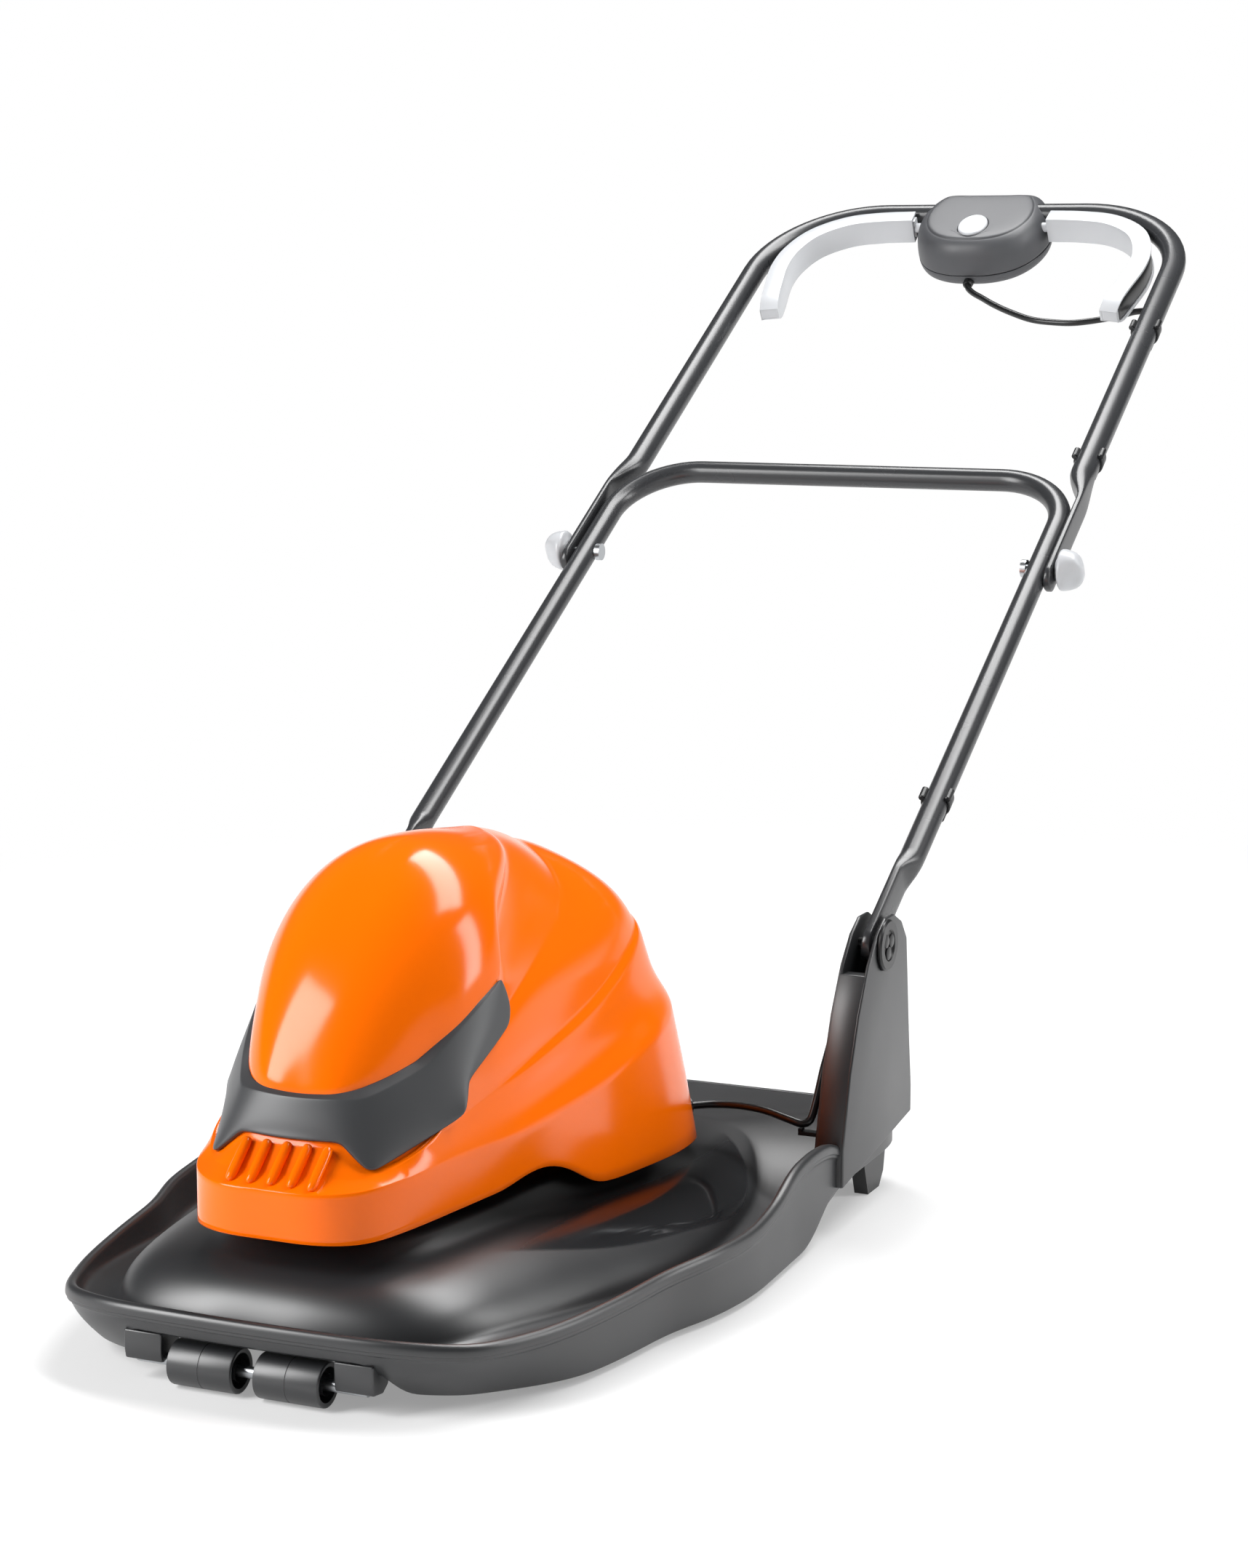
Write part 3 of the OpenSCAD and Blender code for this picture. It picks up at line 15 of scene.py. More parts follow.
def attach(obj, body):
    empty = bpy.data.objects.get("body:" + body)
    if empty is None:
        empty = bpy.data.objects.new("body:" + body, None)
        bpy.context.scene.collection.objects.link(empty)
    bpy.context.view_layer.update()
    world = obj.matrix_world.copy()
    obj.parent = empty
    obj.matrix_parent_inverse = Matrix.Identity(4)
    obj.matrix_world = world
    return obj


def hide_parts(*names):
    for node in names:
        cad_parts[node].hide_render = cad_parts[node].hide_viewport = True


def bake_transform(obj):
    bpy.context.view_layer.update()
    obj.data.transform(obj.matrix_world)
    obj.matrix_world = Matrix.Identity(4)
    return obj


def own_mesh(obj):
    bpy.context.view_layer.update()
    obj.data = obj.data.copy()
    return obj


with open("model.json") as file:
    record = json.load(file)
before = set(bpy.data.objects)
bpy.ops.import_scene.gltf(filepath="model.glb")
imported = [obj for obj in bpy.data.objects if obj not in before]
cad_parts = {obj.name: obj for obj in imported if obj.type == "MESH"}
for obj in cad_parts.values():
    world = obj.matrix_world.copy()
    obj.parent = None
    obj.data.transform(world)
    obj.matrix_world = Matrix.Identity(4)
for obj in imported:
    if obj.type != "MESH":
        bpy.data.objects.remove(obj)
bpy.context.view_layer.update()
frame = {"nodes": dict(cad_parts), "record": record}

LOG = logging.getLogger("hover_mower")
Point = tuple[float, float, float]
Row = Sequence[Sequence[float]]
Place = Callable[[Sequence[float]], Vector]
Value = Union[float, bpy.types.NodeSocket]
Sharpness = Callable[[float], float]

# Lengths are in millimetres: places of the handle's pivot, and places along its legs from there
PIVOT_Y = 605.0
PIVOT_Z = 208.0
LEAN = math.radians(31.0)
DECK_L = 691.0
UPPER_L = 1128.0
LOWER_X, LOWER_D = 223.0, 21.0
UPPER_X, UPPER_D = 226.0, 24.0
BUTTON_Y = UPPER_L - 48
BOX_REAR = 1160.5
BOX_DOWN = 36.0
LEAD_D = 6.4
MID_Y = (PIVOT_Y + BOX_REAR * math.cos(LEAN) + BOX_DOWN * math.sin(LEAN)) / 2
SCALE = 0.001
MERGE = 1e-7
WHITE = (1, 1, 1, 1)
X_AXIS, Z_AXIS = Vector((1, 0, 0)), Vector((0, 0, 1))


class Side(Enum):
    """The two sides of the machine, as the sign of x."""

    RIGHT = 1
    LEFT = -1


def on_deck(p: Sequence[float]) -> Vector:
    """Turns x, distance behind the front rim and height above the ground into metres in the shared frame."""
    return Vector((p[0], p[1] - MID_Y, p[2])) * SCALE


def on_handle(p: Sequence[float]) -> Vector:
    """Turns x, distance along the legs from the pivot and height over their plane into metres in the shared frame."""
    y = PIVOT_Y + p[1] * math.cos(LEAN) - p[2] * math.sin(LEAN)
    z = PIVOT_Z + p[1] * math.sin(LEAN) + p[2] * math.cos(LEAN)
    return on_deck((p[0], y, z))


def mirrored(place: Place, side: Side) -> Place:
    """Returns the same placing for the given side of the machine."""
    return lambda p: place((p[0] * side.value, p[1], p[2]))


def mix(a: float, b: float, t: float) -> float:
    """Returns the value a share t of the way from a to b."""
    return a + (b - a) * t


def ease(t: float) -> float:
    """Returns a smooth step from 0 to 1."""
    c = min(1.0, max(0.0, t))
    return c * c * (3 - 2 * c)


def flip(p: Sequence[float]) -> Vector:
    """Returns the point on the other side of the middle plane."""
    return Vector((-p[0], p[1], p[2]))


def spline(a: Vector, b: Vector, c: Vector, d: Vector, t: float) -> Vector:
    """Returns a point of the smooth curve between b and c."""
    return b + 0.5 * t * (c - a + t * (2 * a - 5 * b + 4 * c - d + t * (3 * (b - c) + d - a)))


def through(points: Sequence[Vector], before: Vector, after: Vector, steps: int) -> list[Vector]:
    """Draws a smooth curve through points, with one more point past each end to set its slope there."""
    full = [before, *points, after]
    spans = zip(full, full[1:], full[2:], full[3:])
    return [spline(*span, k / steps) for span in spans for k in range(steps)] + [points[-1]]


def half_curve(table: Row, size: Point, steps: int, move: Point = (0, 0, 0)) -> list[Vector]:
    """Draws a guide line from the front centre to the rear centre.

    Args:
        table: shares of half width, length and height.
        size: the three lengths that the shares multiply.
        steps: points for each share of the table.
        move: offset added to each point.

    Returns:
        The points of one half, both ends in the middle plane.
    """
    pts = [Vector((s[0] * size[0], s[1] * size[1], s[2] * size[2])) + Vector(move) for s in table]
    return through(pts, flip(pts[1]), flip(pts[-2]), steps)


def free_curve(points: Row, steps: int) -> list[Vector]:
    """Draws a smooth curve through free points, held at both ends."""
    pts = [Vector(p) for p in points]
    return through(pts, 2 * pts[0] - pts[1], 2 * pts[-1] - pts[-2], steps)


def disc(radius: float, count: int) -> list[tuple[float, float]]:
    """Returns the points of a round section."""
    return [(radius * math.cos(math.tau * k / count), radius * math.sin(math.tau * k / count)) for k in range(count)]


def ring(half: Sequence[Vector]) -> list[Vector]:
    """Returns the closed ring of a half line and its mirror image."""
    return list(half) + [flip(p) for p in reversed(half[1:-1])]


def arch(a: Vector, b: Vector, t: float, bulge: float) -> Vector:
    """Returns a point between a and b on a line that bulges like a quarter ellipse."""
    c, s = 1 - math.cos(math.pi / 2 * t), math.sin(math.pi / 2 * t)
    round_part = Vector((mix(a.x, b.x, c), mix(a.y, b.y, c), mix(a.z, b.z, s)))
    return a.lerp(b, t).lerp(round_part, bulge)


def crown(a: Vector, top: Vector, t: float, power: float) -> Vector:
    """Returns a point between a and a top that every such line meets level.

    Args:
        a: the foot of the line.
        top: the highest point.
        t: share of the way.
        power: 2 for an ellipse, more for a fuller line.

    Returns:
        The point.
    """
    across = 1 - math.cos(math.pi / 2 * t) ** (2 / power)
    up = math.sin(math.pi / 2 * t) ** (2 / power)
    return Vector((mix(a.x, top.x, across), mix(a.y, top.y, across), mix(a.z, top.z, up)))


def relax(points: Sequence[Vector], weights: Sequence[float], times: int) -> list[Vector]:
    """Evens a line of points out, each towards the middle of its neighbours.

    Args:
        points: the line, whose ends stay.
        weights: how much each point gives way.
        times: how often.

    Returns:
        The evened line.
    """
    line = [Vector(p) for p in points]
    for _ in range(times):
        near = zip(line, line[1:], line[2:], weights[1:])
        line = [line[0], *(p.lerp((a + b) / 2, 0.5 * w) for a, p, b, w in near), line[-1]]
    return line


def linear(code: str) -> tuple[float, float, float, float]:
    """Turns an sRGB hex colour into linear red, green, blue and alpha."""
    parts = [int(code[i:i + 2], 16) / 255 for i in (1, 3, 5)]
    return tuple(c / 12.92 if c <= 0.04045 else ((c + 0.055) / 1.055) ** 2.4 for c in parts) + (1.0,)


def add(tree: bpy.types.NodeTree, kind: str, settings: Optional[dict] = None, **inputs) -> bpy.types.Node:
    """Adds a node with its settings and links.

    Args:
        tree: the tree that gets the node.
        kind: the node's type name.
        settings: attributes of the node.
        inputs: values or output sockets by input name, with _ for a space.

    Returns:
        The new node.
    """
    node = tree.nodes.new(kind)
    for key, value in (settings or {}).items():
        setattr(node, key, value)
    for key, value in inputs.items():
        numbered = key[0] == "i" and key[1:].isdigit()
        socket = node.inputs[int(key[1:]) if numbered else key.replace("_", " ")]
        if isinstance(value, bpy.types.NodeSocket):
            tree.links.new(value, socket)
        else:
            socket.default_value = value
    return node


def calc(tree: bpy.types.NodeTree, operation: str, a: Value, b: Value = 0.0) -> bpy.types.NodeSocket:
    """Adds a calculation with one or two values."""
    return add(tree, "ShaderNodeMath", {"operation": operation}, i0=a, i1=b).outputs[0]


def remap(tree: bpy.types.NodeTree, value: Value, start: float, end: float, low: Value, high: Value,
          kind: str = "LINEAR") -> bpy.types.NodeSocket:
    """Adds a change of range from start and end to low and high, held past both."""
    node = add(tree, "ShaderNodeMapRange", {"interpolation_type": kind}, Value=value, From_Min=start, From_Max=end,
               To_Min=low, To_Max=high)
    return node.outputs["Result"]


def empty_tree(owner: bpy.types.ID) -> bpy.types.NodeTree:
    """Returns the cleared node tree of a material or world."""
    owner.use_nodes = True
    owner.node_tree.nodes.clear()
    return owner.node_tree


@dataclass(frozen=True)
class Egg:
    """The egg on the deck's dome that is left without grain: painted near black all over as painted shade next to the
    cover, and polished along its sides.
    """

    half_w: float = 182.0
    middle: float = 400.0
    fore: float = 327.0
    back: float = 205.0
    # Near-black colour of the painted shade over the egg
    tone: str = "#08090a"
    roughness: float = 0.07
    mirror: float = 0.14
    soft_from: float = 0.78
    crisp_from: float = 0.985
    flank_from: float = 0.6
    flank_to: float = 0.82

    def masks(self, tree: bpy.types.NodeTree, place: bpy.types.NodeSocket) -> tuple[Value, Value]:
        """Draws the egg.

        Args:
            tree: the material's tree.
            place: the object's own coordinates.

        Returns:
            A soft mask of the egg, for its painted shade and its dimmer mirror, and a crisp one of its polished sides.
        """
        axes = add(tree, "ShaderNodeSeparateXYZ", Vector=place)
        y = calc(tree, "SUBTRACT", axes.outputs[1], (self.middle - MID_Y) * SCALE)
        ahead = calc(tree, "MULTIPLY", y, -1 / (self.fore * SCALE))
        behind = calc(tree, "MULTIPLY", y, 1 / (self.back * SCALE))
        across = calc(tree, "MULTIPLY", axes.outputs[0], 1 / (self.half_w * SCALE))
        both = add(tree, "ShaderNodeCombineXYZ", X=across, Y=calc(tree, "MAXIMUM", ahead, behind))
        far = add(tree, "ShaderNodeVectorMath", {"operation": "LENGTH"}, i0=both.outputs[0]).outputs["Value"]
        soft, rim = (remap(tree, far, start, 1.0, 1.0, 0.0) for start in (self.soft_from, self.crisp_from))
        flank = remap(tree, calc(tree, "ABSOLUTE", across), self.flank_from, self.flank_to, 0.0, 1.0)
        return soft, calc(tree, "MULTIPLY", rim, flank)


@dataclass(frozen=True)
class Finish:
    """A surface with a fine grain, faint flow marks and an uneven gloss."""

    name: str
    colour: str
    roughness: float
    grain_mm: float = 1.2
    grain_depth: float = 0.12
    shade: float = 0.12
    ior: float = 1.5
    metallic: float = 0.0
    # The deck's egg: polished sides, and painted shade over the whole egg
    polish_and_shade: Optional[Egg] = None

    def make(self) -> bpy.types.Material:
        """Builds the material."""
        mat = bpy.data.materials.new(self.name)
        tree = empty_tree(mat)
        place = add(tree, "ShaderNodeTexCoord").outputs["Object"]
        fine = 1 / (self.grain_mm * SCALE)
        grain = add(tree, "ShaderNodeTexNoise", Vector=place, Scale=fine, Detail=3.0, Roughness=0.6)
        cloud = add(tree, "ShaderNodeTexNoise", Vector=place, Scale=14.0, Detail=4.0, Roughness=0.55).outputs["Fac"]
        low, high = ([min(1, c * k) for c in linear(self.colour)[:3]] + [1.0] for k in (1 - self.shade, 1 + self.shade))
        colour = add(tree, "ShaderNodeMix", {"data_type": "RGBA"}, i0=cloud, i6=low, i7=high).outputs[2]
        dull = remap(tree, cloud, 0.0, 1.0, self.roughness * 0.9, self.roughness * 1.1)
        depth, mirror = self.grain_depth, 0.5
        if self.polish_and_shade:
            egg, sides = self.polish_and_shade.masks(tree, place)
            # Painted shade: the colour is mixed towards near black over the egg
            tone = linear(self.polish_and_shade.tone)
            colour = add(tree, "ShaderNodeMix", {"data_type": "RGBA"}, i0=egg, i6=colour, i7=tone).outputs[2]
            dull = remap(tree, sides, 0.0, 1.0, dull, self.polish_and_shade.roughness)
            depth = remap(tree, sides, 0.0, 1.0, depth, 0.0)
            mirror = remap(tree, egg, 0.0, 1.0, mirror, self.polish_and_shade.mirror)
        bump = add(tree, "ShaderNodeBump", Strength=depth, Distance=0.0002, Height=grain.outputs["Fac"])
        shader = add(tree, "ShaderNodeBsdfPrincipled", Base_Color=colour, Roughness=dull, Normal=bump.outputs["Normal"],
                     IOR=self.ior, Metallic=self.metallic, Specular_IOR_Level=mirror)
        add(tree, "ShaderNodeOutputMaterial", Surface=shader.outputs["BSDF"])
        return mat


# Deck: polypropylene with a dull moulded grain; the sides of its dome are left polished, so they mirror the room, and
# an egg on the dome is painted near black as painted shade
DECK_PLASTIC = Finish("deck_polypropylene", "#262729", 0.39, 0.9, 0.10, ior=1.7, polish_and_shade=Egg())
# Cover: polished ABS, almost a mirror at its edges
COVER_ABS = Finish("cover_abs", "#fa6c00", 0.14, 3.0, 0.0, 0.02, ior=1.36)
# Trim: satin ABS in grey
TRIM_ABS = Finish("trim_abs", "#3d3e40", 0.4, 0.8, 0.05, 0.06)
# Switch box: glass-filled nylon
BOX_NYLON = Finish("box_nylon", "#46474a", 0.44, 0.8, 0.08)
# Small black mouldings
BLACK_NYLON = Finish("black_nylon", "#111214", 0.36, 0.9, 0.05)
# Bail, knobs and button: pale polycarbonate
PALE_PC = Finish("pale_polycarbonate", "#b9bbbe", 0.3, 2.0, 0.0, 0.02)
# Tubes: mild steel under a smooth stove enamel
TUBE_ENAMEL = Finish("tube_enamel", "#323335", 0.27, 3.0, 0.0, 0.05)
# Axle, bolts, screws and blade: bright zinc plating
BARE_STEEL = Finish("zinc_plated_steel", "#b7babd", 0.32, 1.0, 0.05, 0.06, metallic=1.0)
# Housing and pulleys: die casting, dull and slightly rough
CAST_ALLOY = Finish("die_cast_alloy", "#8d9196", 0.5, 1.5, 0.2, 0.08, metallic=1.0)
# Armature: varnished copper
WINDING = Finish("copper_winding", "#9a5f35", 0.4, 0.8, 0.3, 0.15, metallic=1.0)
# Lead: black PVC sheath with a soft sheen
LEAD_PVC = Finish("lead_pvc", "#0f1011", 0.34, 1.5, 0.05)
# Belt: dull black rubber
BELT_RUBBER = Finish("belt_rubber", "#1b1b1c", 0.6, 0.8, 0.2)
SLOT_FINISH = {
    "deck_plastic": DECK_PLASTIC, "cover_plastic": COVER_ABS, "trim_plastic": TRIM_ABS, "box_plastic": BOX_NYLON,
    "black_plastic": BLACK_NYLON, "light_plastic": PALE_PC, "tube_steel": TUBE_ENAMEL, "bare_steel": BARE_STEEL,
    "cast_alloy": CAST_ALLOY, "winding": WINDING, "lead_rubber": LEAD_PVC, "belt_rubber": BELT_RUBBER,
}


@cache
def finish_of(slot: str) -> bpy.types.Material:
    """Returns the material of a slot of the record, made once."""
    return SLOT_FINISH[slot].make()


def link(name: str, data: bpy.types.ID) -> bpy.types.Object:
    """Makes an object of a mesh, lamp or camera and links it to the scene."""
    obj = bpy.data.objects.new(name, data)
    bpy.context.scene.collection.objects.link(obj)
    return obj


def steady(value: float) -> Sharpness:
    """Returns a sharpness that is the same all along a row."""
    return lambda share: value


def ramp(*marks: tuple[float, float]) -> Sharpness:
    """Returns a sharpness that runs straight between marks.

    Args:
        marks: share of the way along the row, and the sharpness there.

    Returns:
        The sharpness by the share of the way.
    """
    def at(share: float) -> float:
        """Returns the sharpness at a share."""
        for (a, u), (b, v) in zip(marks, marks[1:]):
            if share <= b:
                return mix(u, v, min(1.0, max(0.0, (share - a) / (b - a))))
        return marks[-1][1]

    return at


class Form:
    """A mesh in the making: rows of points in millimetres, grown into faces by operators."""

    def __init__(self, place: Place = on_deck) -> None:
        """Starts an empty mesh with a way to place its points."""
        self.bm = bmesh.new()
        self.place = place
        self.crease = self.bm.edges.layers.float.new("crease_edge")

    def line(self, points: Row, closed: bool = True) -> tuple[list, dict]:
        """Starts a row of edges.

        Args:
            points: the points of the row.
            closed: whether the last point joins the first.

        Returns:
            The edges, and each vertex's place in the row.
        """
        verts = [bmesh.ops.create_vert(self.bm, co=self.place(p))["vert"][0] for p in points]
        pairs = list(zip(verts, verts[1:] + verts[:1])) if closed else list(zip(verts, verts[1:]))
        return [self.bm.edges.new(p) for p in pairs], {v: i for i, v in enumerate(verts)}

    def grow(self, row: tuple[list, dict], points: Row) -> tuple[list, dict]:
        """Extrudes a row of edges to new points.

        Args:
            row: edges and vertex places, as line returns them.
            points: where the new vertices go, in the row's order.

        Returns:
            The new row.
        """
        edges, index = row
        made = bmesh.ops.extrude_edge_only(self.bm, edges=edges)["geom"]
        fresh = {}
        for v in (g for g in made if isinstance(g, bmesh.types.BMVert)):
            old = next(e.other_vert(v) for e in v.link_edges if e.other_vert(v) in index)
            fresh[v] = index[old]
            v.co = self.place(points[index[old]])
        return [g for g in made if isinstance(g, bmesh.types.BMEdge) and all(v in fresh for v in g.verts)], fresh

    def loft(self, rows: Sequence[Row], wrap: bool = False, creases: Optional[dict[int, Sharpness]] = None) -> None:
        """Grows a closed skin through closed rows of equal counts.

        Args:
            rows: the rows of points.
            wrap: whether the last row joins the first, where otherwise both get a face.
            creases: for a row's number, the sharpness of its edges by their share of the way to its middle.
        """
        grown = [self.line(rows[0])]
        for points in rows[1:]:
            grown.append(self.grow(grown[-1], points))
        if wrap:
            last = self.grow(grown[-1], rows[0])
            bmesh.ops.remove_doubles(self.bm, verts=list(last[1]) + list(grown[0][1]), dist=MERGE)
        for number, value in (creases or {}).items():
            edges, index = grown[number]
            for e in (e for e in edges if e.is_valid):
                place = [index[v] for v in e.verts if v in index]
                joined = place and max(place) - min(place) <= 1
                share = 2 * sum(place) / (len(place) * len(index)) if joined else 0.0
                e[self.crease] = value(min(share, 2 - share))
        if not wrap:
            for edges, _ in (grown[0], grown[-1]):
                bmesh.ops.edgeloop_fill(self.bm, edges=edges)

    def lathe(self, profile: Row, centre: Point, along: int, steps: int = 48) -> None:
        """Spins a profile round an axis of this form's own frame.

        Args:
            profile: radius and distance along the axis.
            centre: where the axis starts.
            along: 0, 1 or 2 for an axis along x, y or z.
            steps: points round the axis.
        """
        origin, unit = Vector(centre), [X_AXIS, Vector((0, 1, 0)), Z_AXIS]
        pts = [origin + unit[along] * h + unit[(along + 1) % 3] * r for r, h in profile]
        edges, index = self.line(pts, closed=False)
        axis = (self.place(origin + unit[along]) - self.place(origin)).normalized()
        bmesh.ops.spin(self.bm, geom=list(index) + edges, cent=self.place(origin), axis=axis, angle=2 * math.pi,
                       steps=steps, use_merge=True)
        bmesh.ops.remove_doubles(self.bm, verts=self.bm.verts[:], dist=MERGE)

    def soften(self, edges: Iterable[bmesh.types.BMEdge], angle: float, width: float, segments: int = 2) -> None:
        """Rounds those of some edges that turn by more than an angle in radians."""
        sharp = [e for e in edges if e.is_valid and len(e.link_faces) == 2 and e.calc_face_angle(0) > angle]
        bmesh.ops.bevel(self.bm, geom=sharp, offset=width * SCALE, offset_type="OFFSET", affect="EDGES",
                        segments=segments, profile=0.5, material=-1, clamp_overlap=True)

    def prism(self, outline: Row, move: Point, bevel: float = 0.0, segments: int = 2) -> None:
        """Extrudes a flat outline and rounds its edges.

        Args:
            outline: points of the outline.
            move: the way of the extrusion, in this form's own frame.
            bevel: width of the rounding, in millimetres.
            segments: steps of the rounding.
        """
        edges, index = self.line(outline)
        face = bmesh.ops.edgeloop_fill(self.bm, edges=edges)["faces"]
        made = bmesh.ops.extrude_face_region(self.bm, geom=face, use_keep_orig=True)["geom"]
        way = self.place(move) - self.place((0, 0, 0))
        top = [g for g in made if isinstance(g, bmesh.types.BMVert)]
        bmesh.ops.translate(self.bm, verts=top, vec=way)
        bmesh.ops.recalc_face_normals(self.bm, faces=self.bm.faces[:])
        if bevel:
            self.soften({e for v in list(index) + top for e in v.link_edges}, 0.35, bevel, segments)

    def sweep(self, path: Sequence[Vector], section: Callable[[int], Row], up: Vector = Z_AXIS) -> None:
        """Sweeps a section along a path.

        Args:
            path: the points of the path.
            section: gives the section's points at a station, across and up.
            up: the section's upward direction, which the path never takes.
        """
        rows = []
        for i, p in enumerate(path):
            t = (path[min(i + 1, len(path) - 1)] - path[max(i - 1, 0)]).normalized()
            u = t.cross(up).normalized()
            v = u.cross(t)
            rows.append([p + u * a + v * b for a, b in section(i)])
        self.loft(rows)

    def piece(self, name: str, slot: str, body: Optional[str], replaces: Iterable[str] = (), levels: int = 0,
              sharp: float = 38.0) -> bpy.types.Object:
        """Finishes the mesh as a piece of the machine.

        Args:
            name: the piece's name.
            slot: the record's material slot.
            body: the body that it rides on, or none for a piece that rides on no body.
            replaces: nodes that it stands for.
            levels: steps of subdivision.
            sharp: angle in degrees past which an edge stays sharp.

        Returns:
            The new object.
        """
        bmesh.ops.recalc_face_normals(self.bm, faces=self.bm.faces[:])
        for f in self.bm.faces:
            f.smooth = True
        if not levels:
            for e in self.bm.edges:
                e.smooth = len(e.link_faces) == 2 and e.calc_face_angle(0) < math.radians(sharp)
        mesh = bpy.data.meshes.new(name)
        self.bm.to_mesh(mesh)
        self.bm.free()
        obj = link(name, mesh)
        mesh.materials.append(finish_of(slot))
        if levels:
            mod = obj.modifiers.new("smooth", "SUBSURF")
            mod.levels = mod.render_levels = levels
        if body:
            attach(obj, body)
        if replaces:
            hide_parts(*replaces)
        LOG.info("built %s on %s", name, body)
        return obj


RIM = [
    (0, 0, 1), (0.25, 0.0017, 1), (0.47, 0.011, 0.98), (0.655, 0.044, 0.92), (0.75, 0.103, 0.87), (0.815, 0.17, 0.86),
    (0.868, 0.255, 0.88), (0.905, 0.33, 0.91), (0.968, 0.4, 0.95), (1, 0.475, 0.98), (0.998, 0.545, 1.1),
    (0.99, 0.615, 1.36), (0.985, 0.705, 1.36), (0.975, 0.78, 1.1), (0.97, 0.87, 1.05), (0.955, 0.96, 1.05),
    (0.85, 0.995, 1.05), (0.45, 1, 1.05), (0, 1, 1.05)]
FOOT = [
    (0, 0.028, 1), (0.2, 0.029, 1), (0.4, 0.042, 1), (0.52, 0.07, 1), (0.6, 0.118, 1), (0.66, 0.185, 0.9),
    (0.715, 0.265, 0.76), (0.755, 0.335, 0.65), (0.79, 0.4, 0.6), (0.812, 0.475, 0.6), (0.806, 0.54, 0.6),
    (0.787, 0.605, 0.62), (0.75, 0.68, 0.68), (0.69, 0.745, 0.9), (0.6, 0.805, 1.3), (0.48, 0.84, 1.5),
    (0.32, 0.858, 1.5), (0.16, 0.865, 1.5), (0, 0.867, 1.5)]
BROW = [
    (0, 0.096, 0.86), (0.14, 0.098, 0.86), (0.24, 0.112, 0.86), (0.31, 0.142, 0.86), (0.355, 0.182, 0.86),
    (0.385, 0.232, 0.86), (0.41, 0.285, 0.85), (0.43, 0.34, 0.82), (0.45, 0.4, 0.78), (0.462, 0.46, 0.74),
    (0.465, 0.52, 0.7), (0.455, 0.58, 0.66), (0.43, 0.635, 0.63), (0.375, 0.675, 0.61), (0.3, 0.702, 0.6),
    (0.21, 0.718, 0.6), (0.14, 0.724, 0.6), (0.07, 0.727, 0.6), (0, 0.728, 0.6)]


